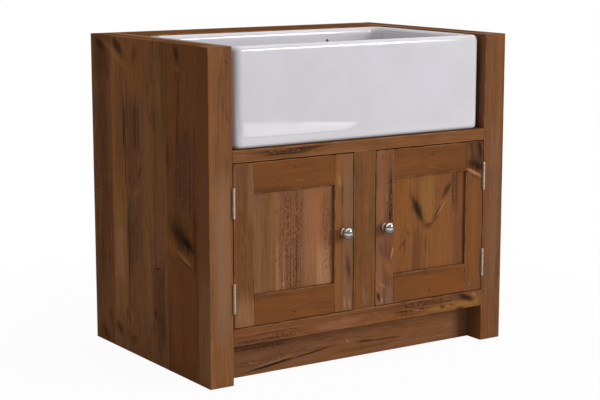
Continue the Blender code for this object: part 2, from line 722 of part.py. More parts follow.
def knob(side, sign, parent):
    # Everything here is turned about the knob's axis, which points out of the door.
    out = (math.pi / 2, 0, 0)
    bore = SCREW_DIAMETER / 2 + FIT
    rose = ROSE_DIAMETER / 2
    step = ROSE_THICKNESS / 3
    turned(side + "_knob_rose", [
        (rose - 2 * step, ROSE_THICKNESS),
        (rose - step, 2 * step),
        (rose, step),
        (rose, 0),
        (bore, 0),
        (bore, ROSE_THICKNESS),
    ], nickel, (sign * knob_x, -FIT, knob_z), parent, TURN_STEPS, True, out)
    head = KNOB_DIAMETER / 2
    neck = KNOB_NECK / 2
    foot = KNOB_FOOT / 2
    half_depth = KNOB_HEAD_DEPTH / 2
    middle = KNOB_LENGTH - half_depth
    behind = math.pi - math.asin(neck / head)
    profile = [(head * math.sin(angle), middle + half_depth * math.cos(angle)) for angle in arc(0, behind, 9)]
    waist = profile[-1][1] - FIT
    for angle in arc(0, math.pi / 2, 3):
        profile.append((neck + (foot - neck) * (1 - math.cos(angle)), waist * (1 - math.sin(angle))))
    profile += [(bore, 0), (bore, SCREW_IN_KNOB + FIT), (0, SCREW_IN_KNOB + FIT)]
    base = -(FIT + ROSE_THICKNESS + FIT)
    turned(side + "_knob", profile, nickel, (sign * knob_x, base, knob_z), parent, TURN_STEPS, False, out)
    tip = -base + SCREW_IN_KNOB
    back = -(door_thickness + FIT)
    turned(side + "_knob_screw", [
        (0, tip),
        (SCREW_DIAMETER / 2, tip),
        (SCREW_DIAMETER / 2, back),
        (SCREW_HEAD / 2, back),
        (SCREW_HEAD / 2, back - SCREW_HEAD_HEIGHT),
        (0, back - SCREW_HEAD_HEIGHT),
    ], bright_steel, (sign * knob_x, 0, knob_z), parent, HINGE_STEPS, False, out)


def catch(side, sign, parent):
    middle = door_inner + CATCH_FROM_EDGE
    plate_front = door_thickness + FIT
    plate_back = plate_front + PLATE_THICKNESS
    plate_top = door_top - PLATE_DROP
    board(side + "_catch_plate",
          ((sign * (middle - PLATE_WIDTH / 2), plate_front, plate_top - PLATE_HEIGHT),
           (sign * (middle + PLATE_WIDTH / 2), plate_back, plate_top)),
          bright_steel, parent, edge=0)
    top = sink_rail_bottom - FIT
    board(side + "_catch",
          ((sign * (middle - CATCH_WIDTH / 2), plate_back + FIT, top - CATCH_HEIGHT),
           (sign * (middle + CATCH_WIDTH / 2), plate_back + FIT + CATCH_DEPTH, top)),
          white_plastic, unit)


# Butt hinges
def knuckle_outline(into):
    # Round the barrel and back into the leaf, in x and y from the pin. The leaf lies on the
    # side that into points to.
    tab = -hinge_y + LEAF_THICKNESS
    start = math.pi - math.acos(leaf_far / knuckle_radius)
    end = 3 * math.pi - math.acos(leaf_near / knuckle_radius)
    points = [(-leaf_near, tab), (-leaf_far, tab)]
    for angle in arc(start, end, HINGE_STEPS):
        points.append((knuckle_radius * math.cos(angle), knuckle_radius * math.sin(angle)))
    return [(-into * x, y) for x, y in points]


def hinge_leaf(name, sign, into, low, parent, knuckles):
    # into is +1 for the leaf on the post and -1 for the leaf on the door.
    near = sign * (hinge_x + into * leaf_near)
    far = sign * (hinge_x + into * leaf_far)
    axis = Vector((sign * hinge_x, hinge_y, low))
    box = ((near, 0, low), (far, leaf_depth, low + HINGE_HEIGHT))
    plate = new_part(name, boxes_mesh(name, [box], axis), hinge_steel, axis, parent)
    height = (HINGE_HEIGHT - (KNUCKLES - 1) * FIT) / KNUCKLES
    outline = knuckle_outline(sign * into)
    shape = bmesh.new()
    for index in knuckles:
        bottom = index * (height + FIT)
        face = shape.faces.new([shape.verts.new((x, y, bottom)) for x, y in outline])
        grown_up = bmesh.ops.extrude_face_region(shape, geom=[face])
        top = [item for item in grown_up["geom"] if isinstance(item, bmesh.types.BMVert)]
        bmesh.ops.translate(shape, verts=top, vec=(0, 0, height))
    bmesh.ops.recalc_face_normals(shape, faces=shape.faces[:])
    join_or_cut(plate, "knuckles", mesh_from(name + ".knuckles", shape), "UNION")
    bore = ((0, 0, HINGE_HEIGHT / 2), (0, 0, 1), PIN_DIAMETER / 2 + PIN_PLAY, HINGE_HEIGHT + 2 * CUT_PAST)
    join_or_cut(plate, "bore", rod_mesh(name + ".bore", [bore], HINGE_STEPS, (0, 0, 0)), "DIFFERENCE")


def butt_hinge(name, sign, low, door_parent):
    hinge_leaf(name + "_frame_leaf", sign, 1, low, unit, range(0, KNUCKLES, 2))
    hinge_leaf(name + "_door_leaf", sign, -1, low, door_parent, range(1, KNUCKLES, 2))
    pin = PIN_DIAMETER / 2
    top = HINGE_HEIGHT + FIT
    turned(name + "_hinge_pin", [
        (0, top + PIN_HEAD),
        (pin, top + PIN_HEAD),
        (knuckle_radius, top),
        (pin, top),
        (pin, -FIT),
        (knuckle_radius, -FIT),
        (pin, -FIT - PIN_HEAD),
        (0, -FIT - PIN_HEAD),
    ], hinge_steel, (sign * hinge_x, hinge_y, low), unit, HINGE_STEPS, False)


front_frame()
sides()
floor_and_back()
sink()
waste()
strainer_basket()
for side_name in signs:
    door(side_name)
bpy.context.view_layer.update()
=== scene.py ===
# Sink unit in reclaimed pine with a white glazed butler sink
import json

import bpy
import numpy as np
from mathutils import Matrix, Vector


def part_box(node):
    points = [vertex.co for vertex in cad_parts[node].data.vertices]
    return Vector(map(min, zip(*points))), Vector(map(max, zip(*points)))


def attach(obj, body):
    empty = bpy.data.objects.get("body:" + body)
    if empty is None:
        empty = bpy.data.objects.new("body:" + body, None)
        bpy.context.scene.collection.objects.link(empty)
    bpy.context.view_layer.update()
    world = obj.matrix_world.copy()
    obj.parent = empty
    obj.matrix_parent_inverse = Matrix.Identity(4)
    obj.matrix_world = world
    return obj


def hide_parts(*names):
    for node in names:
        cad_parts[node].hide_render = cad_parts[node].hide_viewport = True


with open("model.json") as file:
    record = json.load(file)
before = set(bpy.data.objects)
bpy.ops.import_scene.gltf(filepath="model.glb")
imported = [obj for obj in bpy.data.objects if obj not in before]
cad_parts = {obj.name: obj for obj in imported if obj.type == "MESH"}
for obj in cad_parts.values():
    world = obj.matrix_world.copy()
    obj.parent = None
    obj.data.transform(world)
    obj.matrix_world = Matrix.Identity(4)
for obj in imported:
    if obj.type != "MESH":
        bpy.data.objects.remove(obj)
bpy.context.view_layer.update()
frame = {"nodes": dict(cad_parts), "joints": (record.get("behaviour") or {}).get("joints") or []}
scene = bpy.context.scene
sides = ("left", "right")
print("frame loaded with", len(frame["nodes"]), "nodes")


def addObject(name, data):
    added = bpy.data.objects.new(name, data)
    scene.collection.objects.link(added)
    return added


# Camera, as in the photograph
view = {"place": (-2.396, -3.600, 1.151), "yaw": 33.60, "pitch": -9.84, "lens": 93.1, "sensor": 36}
lens = bpy.data.cameras.new("camera")
lens.lens = view["lens"]
lens.sensor_width = view["sensor"]
lens.sensor_fit = "HORIZONTAL"
camera = addObject("camera", lens)
camera.location = view["place"]
camera.rotation_euler = (np.radians(90 + view["pitch"]), 0, np.radians(-view["yaw"]))
scene.camera = camera
scene.view_settings.view_transform = "Standard"

# Soft boxes: each has a place, a point it faces, its width and height, and its power
lamps = {
    "keyLamp": {"place": (5.4, -6.5, 2.6), "aim": (0.0, -0.2, 0.45), "size": (2.4, 3.4), "power": 416},
    "fillLamp": {"place": (-5.4, -1.6, 3.0), "aim": (-0.2, -0.2, 0.45), "size": (3.0, 3.0), "power": 28},
    "rimLamp": {"place": (2.8, -4.1, 3.1), "aim": (0.0, -0.2, 0.8), "size": (2.2, 1.4), "power": 44},
    "overLamp": {"place": (0.2, -0.8, 4.4), "aim": (0.0, -0.1, 0.8), "size": (2.6, 2.6), "power": 36},
    "rearLamp": {"place": (1.6, 3.3, 2.3), "aim": (0.1, 0.1, 0.45), "size": (2.2, 2.2), "power": 20},
}


def aimed(place, aim):
    # turn that points an object's -Z from place to aim
    way = np.subtract(aim, place)
    level = np.hypot(way[0], way[1])
    return (np.arctan2(level, -way[2]), 0, np.arctan2(way[1], way[0]) - np.pi / 2)


for name, lamp in lamps.items():
    light = bpy.data.lights.new(name, "AREA")
    light.energy = lamp["power"]
    light.shape = "RECTANGLE"
    light.size, light.size_y = lamp["size"]
    softBox = addObject(name, light)
    softBox.location = lamp["place"]
    softBox.rotation_euler = aimed(lamp["place"], lamp["aim"])
    softBox.visible_glossy = False                      # cards give the reflections
print("camera and lamps set")


# Shader values that are added and multiplied as numbers are
class Wire:
    def __init__(self, socket):
        self.socket = socket
        self.tree = socket.id_data

    def work(self, operation, *others):
        return put(self.tree, "ShaderNodeMath", dict(enumerate((self, *others))), operation=operation)[0]

    def __add__(self, other):
        return self.work("ADD", other)

    def __sub__(self, other):
        return self.work("SUBTRACT", other)

    def __mul__(self, other):
        return self.work("MULTIPLY", other)

    def __truediv__(self, other):
        return self.work("DIVIDE", other)


def feed(node, links):
    for key, value in links.items():
        if isinstance(value, Wire):
            node.id_data.links.new(value.socket, node.inputs[key])
        else:
            node.inputs[key].default_value = value


def put(tree, kind, links=None, **options):
    # a new node; its outputs are found by place or by name
    node = tree.nodes.new(kind)
    for key, value in options.items():
        setattr(node, key, value)
    feed(node, links or {})
    wires = [Wire(socket) for socket in node.outputs]
    return {**{wire.socket.name: wire for wire in wires}, **dict(enumerate(wires))}


def grouped(group, links):
    return put(links["vector"].tree, "ShaderNodeGroup", links, node_tree=group)


def objectSpace(tree):
    return put(tree, "ShaderNodeTexCoord")["Object"]


def axesOf(vector):
    parts = put(vector.tree, "ShaderNodeSeparateXYZ", {0: vector})
    return parts[0], parts[1], parts[2]


def joined(*parts):
    return put(parts[0].tree, "ShaderNodeCombineXYZ", dict(enumerate(parts)))[0]


def vectorWork(operation, vector, other):
    return put(vector.tree, "ShaderNodeVectorMath", {0: vector, 1: other}, operation=operation)[0]


def cloud(vector, scale, detail=2.0, rough=0.5):
    spot = vectorWork("MULTIPLY", vector, scale)
    links = {"Vector": spot, "Scale": 1.0, "Detail": detail, "Roughness": rough}
    return put(vector.tree, "ShaderNodeTexNoise", links)[0]


def eased(value, low, high, start=0.0, end=1.0, how="SMOOTHSTEP"):
    links = {"Value": value, "From Min": low, "From Max": high, "To Min": start, "To Max": end}
    return put(value.tree, "ShaderNodeMapRange", links, interpolation_type=how)[0]


def blended(share, under, over):
    return put(share.tree, "ShaderNodeMix", {0: share, 6: under, 7: over}, data_type="RGBA")[2]


def bumped(height, strength, distance):
    links = {"Height": height, "Strength": strength, "Distance": distance}
    return put(height.tree, "ShaderNodeBump", links)[0]


kinds = {"vector": "Vector", **dict.fromkeys(("colour", "light", "mid", "dark", "warm", "cool"), "Color")}


def newGroup(name, inputs, outputs, build):
    # a node group: build takes its inputs and gives its outputs; a socket whose kind isn't listed is a number
    tree = bpy.data.node_groups.new(name, "ShaderNodeTree")
    for way, labels in (("INPUT", inputs), ("OUTPUT", outputs)):
        for label in labels.split():
            kind = "NodeSocket" + kinds.get(label, "Float")
            tree.interface.new_socket(name=label, in_out=way, socket_type=kind)
    given = tree.nodes.new("NodeGroupInput").outputs
    feed(tree.nodes.new("NodeGroupOutput"), build(*[Wire(given[label]) for label in inputs.split()]))
    return tree


def tone(colour):
    # screen colour, 0 to 255, to the linear colour of a shader
    share = np.array(colour, float) / 255
    linear = np.where(share <= 0.04045, share / 12.92, ((share + 0.055) / 1.055) ** 2.4)
    return (*linear.tolist(), 1.0)


def newFinish(name):
    made = bpy.data.materials.new(name)
    made.use_nodes = True
    return made, made.node_tree, made.node_tree.nodes["Principled BSDF"]


# Colours of marks in the wood, as they look on a screen; dark also gives the painted shade along the door
# rails' edges at the panels
tints = {
    "black": (34, 22, 15), "knot": (58, 37, 23), "dark": (84, 53, 32), "plum": (98, 62, 46),
    "grey": (122, 95, 76), "olive": (106, 73, 40), "pale": (160, 117, 82), "pink": (144, 96, 68),
    "orange": (140, 86, 42), "red": (108, 62, 36), "gold": (148, 104, 56), "umber": (99, 56, 22),
    "rubbed": (176, 132, 92),
}


# Effects that several finishes share. In wood, vectors are (across, through, along) the grain, in metres
def pineGrain(vector, light, mid, dark, warm, cool, lines):
    slow = (cloud(vector, (7, 7, 1.7)) - 0.5) * 0.05
    quick = (cloud(vector, (26, 26, 8)) - 0.5) * 0.012
    bent = vectorWork("ADD", vector, joined(slow + quick))
    broad = cloud(bent, (24, 24, 1.2))
    middle = cloud(bent, (130, 130, 3.2), 3.0)
    fine = cloud(bent, (620, 620, 9.0))
    pores = cloud(bent, (1300, 1300, 45), 1.0)
    patches = cloud(bent, (48, 48, 11), 3.0, 0.6)
    threads = cloud(bent, (290, 290, 26))
    hue = cloud(bent, (15, 15, 3.1))
    rings = eased((axesOf(bent)[0] * 760.0 + broad * 34.0).work("SINE"), 0.35, 1.0)     # late wood
    mixed = broad * 0.16 + patches * 0.24 + (middle * 0.24 + fine * 0.10 + threads * 0.26)
    colour = blended(eased(hue, 0.5, 0.68, 0.0, 0.7), mid, warm)
    colour = blended(eased(hue, 0.32, 0.5, 0.7, 0.0), colour, cool)
    colour = blended(eased(mixed, 0.36, 0.5), dark, colour)
    colour = blended(eased(mixed, 0.5, 0.66), colour, light)
    colour = blended(rings * lines * eased(middle, 0.38, 0.62), colour, dark)
    specks = eased(pores, 0.6, 0.72) * 0.35
    return {"colour": blended(specks, colour, dark), "height": fine * 0.6 + middle * 0.5 - specks,
            "rough": eased(middle, 0.3, 0.7, 0.40, 0.58)}


def timberBand(vector, centre, half, low, high):
    # a streak along the grain, with ragged sides and soft ends
    place = axesOf(vector)
    ragged = cloud(vector, (160, 160, 7), 3.0) - 0.5
    share = (place[0] - centre).work("ABSOLUTE") / half + ragged * 1.1
    soft = ((high - low) * 0.2).work("MINIMUM", 0.06)
    along = place[2] + ragged * (soft * 3.0)
    ends = eased((along - low) / soft, -1.0, 1.0) * eased((high - along) / soft, -1.0, 1.0)
    return {"mask": eased(share, 0.35, 1.1, 1.0, 0.0) * ends}


def timberSpike(vector, across, along, lean, length, width):
    # an ellipse that leans across the grain: a knot, or a branch cut lengthwise
    place = axesOf(vector)
    ragged = cloud(vector, (190, 190, 45), 3.0) - 0.5
    over, up = place[0] - across, place[2] - along
    sine, cosine = lean.work("SINE"), lean.work("COSINE")
    lengthwise = ((over * sine + up * cosine) / length).work("POWER", 2.0)
    sideways = ((over * cosine - up * sine) / width).work("POWER", 2.0)
    reach = (lengthwise + sideways).work("SQRT") + ragged * 0.9
    return {"mask": eased(reach, 0.3, 1.15, 1.0, 0.0)}


def sawFlecks(vector):
    # short dark dashes in rows, as a coarse saw leaves them
    rows = cloud(vector, (280, 280, 2.5), 1.0)
    dashes = cloud(vector, (400, 400, 115))
    return {"mask": eased(dashes + rows * 0.85, 0.91, 1.05)}


def rubbedEdge(colour, vector, edge, strength):
    # edges rubbed paler through the wax, in broken lengths
    broken = eased(cloud(vector, (60, 60, 26), 3.0), 0.42, 0.62)
    return {"colour": blended(edge * broken * strength, colour, tone(tints["rubbed"]))}


def metalSmudge(vector, low, high):
    # fine scratches and hand marks that change a polish
    marks = cloud(vector, (90, 90, 90), 4.0, 0.65)
    lines = cloud(vector, (2400, 2400, 160))
    return {"rough": eased(marks * 0.7 + lines * 0.3, 0.35, 0.65, low, high, "LINEAR"), "height": lines}


grainInputs = "vector light mid dark warm cool lines"
grainGroup = newGroup("pineGrain", grainInputs, "colour height rough", pineGrain)
bandGroup = newGroup("timberBand", "vector centre half low high", "mask", timberBand)
spikeGroup = newGroup("timberSpike", "vector across along lean length width", "mask", timberSpike)
fleckGroup = newGroup("sawFlecks", "vector", "mask", sawFlecks)
rubGroup = newGroup("rubbedEdge", "colour vector edge strength", "colour", rubbedEdge)
smudgeGroup = newGroup("metalSmudge", "vector low high", "rough height", metalSmudge)
print("shared effects ready")

sideSkin = {"solid": -0.4794, "gone": -0.4780}          # a side band fades out between these two, inwards


def boardSpace(tree, grain, face):
    # object coordinates as (across the board's face, through it, along the grain)
    parts = dict(zip("xyz", axesOf(objectSpace(tree))))
    across = ({*"xyz"} - {grain, face}).pop()
    return joined(parts[across], parts[face], parts[grain])


def addMark(spot, colour, mark):
    # lays a mark over the colour. In millimetres, (tint, strength, centre, half width, from, to) is a band
    # along the grain, and (tint, strength, across, along, across, along, width) a spike between two points.
    # flecks before the tint breaks a band into dashes, and sideBand puts it on the board's narrow side
    special = mark[0] if mark[0] in ("flecks", "sideBand") else ""
    tint, strength, *place = mark[1:] if special else mark
    place = [value / 1000 for value in place]
    if special == "sideBand":
        across, through, along = axesOf(spot)
        spot = joined(through, across, along)
    if len(place) == 5:
        u0, w0, u1, w1, width = place
        links = {"vector": spot, "across": (u0 + u1) / 2, "along": (w0 + w1) / 2, "width": width,
                 "lean": float(np.arctan2(u1 - u0, w1 - w0)), "length": float(np.hypot(u1 - u0, w1 - w0)) / 2}
        mask = grouped(spikeGroup, links)["mask"]
    else:
        centre, half, low, high = place
        links = {"vector": spot, "centre": centre, "half": half, "low": low, "high": high}
        mask = grouped(bandGroup, links)["mask"]
    if special == "sideBand":
        mask = mask * eased(across, sideSkin["solid"], sideSkin["gone"], 1.0, 0.0)
    if special == "flecks":
        mask = mask * grouped(fleckGroup, {"vector": spot})["mask"]
    return blended(mask * strength, colour, tone(tints[tint])), mask


pine = {"contrast": 1.0, "lines": 0.45, "rub": 0.35, "gloss": 0.02, "bump": 0.3, "bumpDepth": 0.0006,
        "light": 0.17, "dark": 0.26, "warm": (1.06, 1.01, 0.88), "cool": (0.93, 0.91, 1.0), "marks": ()}


def pineFinish(name, look, axes, seed):
    # pine with the given look; axes names the board's grain and then its face
    look = {**pine, **look}
    mean, contrast = np.array(look["mean"], float), look["contrast"]
    made, tree, shader = newFinish(name)
    spot = boardSpace(tree, *axes)
    moved = vectorWork("ADD", spot, (seed * 1.7, seed * 0.9, seed * 2.3))
    light = np.clip(mean * (1 + look["light"] * contrast) + (2, 1, 0), 0, 255)
    dark = mean * (1 - look["dark"] * contrast)
    wood = grouped(grainGroup, {"vector": moved, "light": tone(light), "mid": tone(mean), "dark": tone(dark),
                                "warm": tone(mean * look["warm"]), "cool": tone(mean * look["cool"]),
                                "lines": look["lines"]})
    colour, height = wood["colour"], wood["height"]
    for mark in look["marks"]:
        colour, mask = addMark(spot, colour, mark)
        if mark[0] == "flecks":
            height = height - mask
    edge = put(tree, "ShaderNodeAttribute", attribute_name="rubbed")["Fac"]
    rubbed = grouped(rubGroup, {"colour": colour, "vector": moved, "edge": edge, "strength": look["rub"]})
    feed(shader, {"Base Color": rubbed["colour"], "Roughness": wood["rough"],
                  "Specular IOR Level": look["gloss"],
                  "Normal": bumped(height, look["bump"], look["bumpDepth"])})
    return made


# Surfaces
def stacked(*parts):
    # arrays that stretch to one shape, as the coordinates of points
    return np.stack(np.broadcast_arrays(*parts), -1)


def gridFaces(rows, cols, wrapRows=False):
    # quads between neighbouring rings of points; every ring closes on itself
    index = np.arange(rows * cols).reshape(rows, cols)
    lower = index if wrapRows else index[:-1]
    upper = np.roll(index, -1, 0) if wrapRows else index[1:]
    return np.stack([lower, np.roll(lower, -1, 1), np.roll(upper, -1, 1), upper], -1).reshape(-1, 4)


def ringShell(points, wrapRows=False, edge=None, finish=0):
    # points: rows x columns x 3. Ends that don't wrap are closed by one flat face each
    rows, cols = points.shape[:2]
    flat = points.reshape(-1, 3)
    quads = gridFaces(rows, cols, wrapRows)
    caps = []
    if not wrapRows:
        caps = [np.arange(cols)[::-1], np.arange(cols) + (rows - 1) * cols]
    if insideOut(flat, quads, caps):
        quads = quads[:, ::-1]
        caps = [cap[::-1] for cap in caps]
    edge = np.zeros(len(flat)) if edge is None else edge.reshape(-1)
    faces = quads.tolist() + [cap.tolist() for cap in caps]
    return {"points": flat, "faces": faces, "edge": edge, "finish": finish}


def insideOut(points, quads, caps):
    # signed volume: the sum of corner . (corner x corner) over the triangles of each face
    middle = points.mean(0)
    a, b, c, d = (points[quads[:, k]] - middle for k in range(4))
    total = np.einsum("ij,ij->", a, np.cross(b, c)) + np.einsum("ij,ij->", a, np.cross(c, d))
    for cap in caps:
        ring = points[cap] - middle
        total += np.einsum("j,ij->", ring[0], np.cross(ring[1:-1], ring[2:]))
    return total < 0


def newPiece(name, shells, finishes, body, slot, nodes=(), sharp=40):
    starts = np.cumsum([0] + [len(shell["points"]) for shell in shells]).tolist()
    points = np.concatenate([shell["points"] for shell in shells])
    faces = []
    for start, shell in zip(starts, shells):
        faces += [[start + corner for corner in face] for face in shell["faces"]]
    mesh = bpy.data.meshes.new(name)
    mesh.from_pydata(points.tolist(), [], faces)
    which = np.concatenate([np.broadcast_to(shell["finish"], len(shell["faces"])) for shell in shells])
    mesh.polygons.foreach_set("material_index", which.astype(np.int32))
    mesh.polygons.foreach_set("use_smooth", np.ones(len(faces), bool))
    rubbed = mesh.attributes.new("rubbed", "FLOAT", "POINT")
    rubbed.data.foreach_set("value", np.concatenate([shell["edge"] for shell in shells]).astype(np.float32))
    mesh.set_sharp_from_angle(angle=np.radians(sharp))
    for finish in finishes:
        mesh.materials.append(finish)
    mesh.update()
    piece = addObject(name, mesh)
    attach(piece, body)
    if nodes:
        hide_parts(*nodes)


def drift(seed, along, around=0.0):
    # five sine waves with seeded lengths and phases, between 0 and 1
    random = np.random.default_rng(seed)
    total = 0.0
    for wave in range(5):
        first, second, phase = random.uniform((6, 20, 0), (60, 160, 6.28))
        total = total + np.sin(along * first + around * second + phase) / 5
    return 0.5 + 0.5 * total


def ringStations(runs, steps=4):
    # round a rectangle with round corners: the corner before, the one after, the share between, the direction
    first, second, share, angle = [], [], [], []
    for corner, run in enumerate(runs):
        turn = (corner + np.linspace(0, 1, steps + 1)) * np.pi / 2
        first += [corner] * (len(turn) + len(run))
        second += [corner] * len(turn) + [(corner + 1) % 4] * len(run)
        share += [0.0] * len(turn) + list(run)
        angle += [*turn, *[turn[-1]] * len(run)]
    return np.array(first), np.array(second), np.array(share), np.array(angle)


def roundedRings(halfU, halfV, radius, stations):
    # corner centre + radius x direction at a corner, and a straight share between two corners along a run
    first, second, share, angle = stations
    signs = np.array([[1, 1], [-1, 1], [-1, -1], [1, -1]])
    centre = signs[None] * (stacked(halfU, halfV)[:, None] - radius[..., None])
    facing = stacked(np.cos(angle), np.sin(angle))
    before = centre[:, first] + radius[:, first, None] * facing
    after = centre[:, second] + radius[:, second, None] * facing
    share = share[None, :, None]
    return (1 - share) * before + share * after, facing


plank = {"edge": 0.0014, "wear": 0.0012, "ripple": 0.0003, "end": 0.0012, "support": 0.0008,
         "spacing": 0.03, "hair": 0.00004, "slack": 1e-6}
machined = {"wear": 0.0, "ripple": 0.0}                 # changes for a part that isn't wood


def plankShell(low, high, grain, seed, cuts=(), finish=0, **changes):
    # a rounded rectangle carried along the grain: ends rounded over, corners worn rounder, faces rippled
    # inwards. Each cut is (side, low, high, far, depth): a shallow mortise in the face on that side
    trim = {**plank, **changes}
    order = {"x": [1, 2, 0], "y": [2, 0, 1], "z": [0, 1, 2]}[grain]
    low, high = np.asarray(low, float)[order], np.asarray(high, float)[order]
    middle, half = (low + high) / 2, (high - low) / 2
    least = 0.3 * half.min()
    end, support, edge = (min(trim[key], least) for key in ("end", "support", "edge"))
    length, hair, slack = 2 * half[2], trim["hair"], trim["slack"]
    inner = np.linspace(end + support, length - end - support, max(3, int(length / trim["spacing"])))
    runs = []
    for corner in range(4):
        run = 2 * (half[corner % 2] - edge)
        spots = np.linspace(0, 1, max(2, int(run / trim["spacing"])) + 1)[1:-1]
        runs.append(np.concatenate([[support / run], spots, [1 - support / run]]))
    for side, cutLow, cutHigh, far, depth in cuts:
        inner = np.union1d(inner, np.array([cutLow - hair, cutLow, cutHigh, cutHigh + hair]) - low[2])
        share = 0.5 + side * (far - middle[1]) / (2 * (half[1] - edge))
        spot = 3 if side > 0 else 1
        runs[spot] = np.union1d(runs[spot], [share, share + side * hair / half[1]])
    turn = np.linspace(0, np.pi / 2, 4)
    rise, over = end * (1 - np.cos(turn)), end * (1 - np.sin(turn))
    along = np.concatenate([[0], rise, inner, length - rise[::-1], [length]]) - half[2]
    inset = np.concatenate([[end + support], over, 0 * inner, over[::-1], [end + support]])
    stations = ringStations(runs)
    wear = np.stack([drift(seed + corner, along) for corner in range(4)], -1)
    radius = np.minimum(edge + trim["wear"] * wear ** 2, 0.9 * half[:2].min() - inset[:, None])
    rings, facing = roundedRings(half[0] - inset, half[1] - inset, radius, stations)
    around = np.cumsum(np.linalg.norm(np.diff(rings[5], axis=0, prepend=rings[5][-1:]), axis=1))
    ripple = min(trim["ripple"], 0.02 * half[:2].min()) * drift(seed + 9, along[:, None], 0.35 * around[None])
    rings = rings - facing[None] * ripple[..., None]
    points = stacked(rings[..., 0], rings[..., 1], along[:, None]) + middle
    for side, cutLow, cutHigh, far, depth in cuts:
        inside = (points[..., 2] >= cutLow - slack) & (points[..., 2] <= cutHigh + slack)
        inside &= points[..., 1] <= far + slack
        floor = middle[0] + side * (half[0] - depth)
        deeper = np.minimum(side * points[..., 0], side * floor) * side
        points[..., 0] = np.where(inside, deeper, points[..., 0])
    corners = (stations[2] == 0).astype(float)
    edgeMask = np.maximum(corners[None], (inset > 0).astype(float)[:, None])
    placed = np.empty_like(points)
    placed[..., order] = points
    return ringShell(placed, edge=edgeMask, finish=finish)


turns = {"x": [[0, 1, 0], [0, 0, 1], [1, 0, 0]], "-x": [[0, 0, 1], [0, 1, 0], [-1, 0, 0]],
         "y": [[0, 0, 1], [1, 0, 0], [0, 1, 0]], "-y": [[1, 0, 0], [0, 0, 1], [0, -1, 0]],
         "z": [[1, 0, 0], [0, 1, 0], [0, 0, 1]], "-z": [[0, 1, 0], [1, 0, 0], [0, 0, -1]]}


def turnedTo(axis, centre, *parts):
    # points drawn about Z, turned to point along the axis and moved to their centre
    return stacked(*parts) @ np.array(turns[axis], float) + np.asarray(centre, float)


def turnedShell(profile, centre, axis="z", steps=64, closed=False, lobes=(0, 0.0)):
    # profile of (radius, height) points turned about an axis; lobes swell the radius round the turn
    profile = np.asarray(profile, float)
    angle = np.linspace(0, 2 * np.pi, steps, endpoint=False)
    radius = profile[:, :1] * (1 + lobes[1] * np.cos(lobes[0] * angle)[None])
    points = turnedTo(axis, centre, radius * np.cos(angle), radius * np.sin(angle), profile[:, 1:])
    return ringShell(points, closed)


def screwShell(centre, axis, radius, finish=0, dome=0.25, slot=0.16, sunk=0.0012):
    # slotted screw head: a polar grid whose height is a shallow dome, less a groove across it
    angle = np.linspace(0, 2 * np.pi, 40, endpoint=False)
    reach = np.concatenate([[0.04], np.linspace(0.15, 0.92, 9), [1.0]])[::-1]
    r, a = np.meshgrid(reach, angle, indexing="ij")
    groove = np.clip((slot - np.abs(r * np.sin(a))) / 0.05, 0, 1) * (r < 0.97)
    top = dome * radius * (1 - r ** 2) - groove * 0.3 * radius
    height = np.concatenate([np.full((1, len(angle)), -sunk), top])
    r = radius * np.concatenate([r[:1], r])
    return ringShell(turnedTo(axis, centre, r * np.cos(angle), r * np.sin(angle), height), finish=finish)


def bow(start, end, lift, steps):
    # points on a curve from start to end that leans towards lift, as a quadratic
    t = np.linspace(0, 1, steps + 1)[:, None]
    start, end, lift = (np.asarray(p, float) for p in (start, end, lift))
    return (1 - t) ** 2 * start + 2 * t * (1 - t) * lift + t ** 2 * end


def spread(node):
    low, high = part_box(node)
    return np.array(low), np.array(high)


def part(box, share):
    # the point at these shares of a box, along each axis
    return box[0] + np.array(share) * (box[1] - box[0])


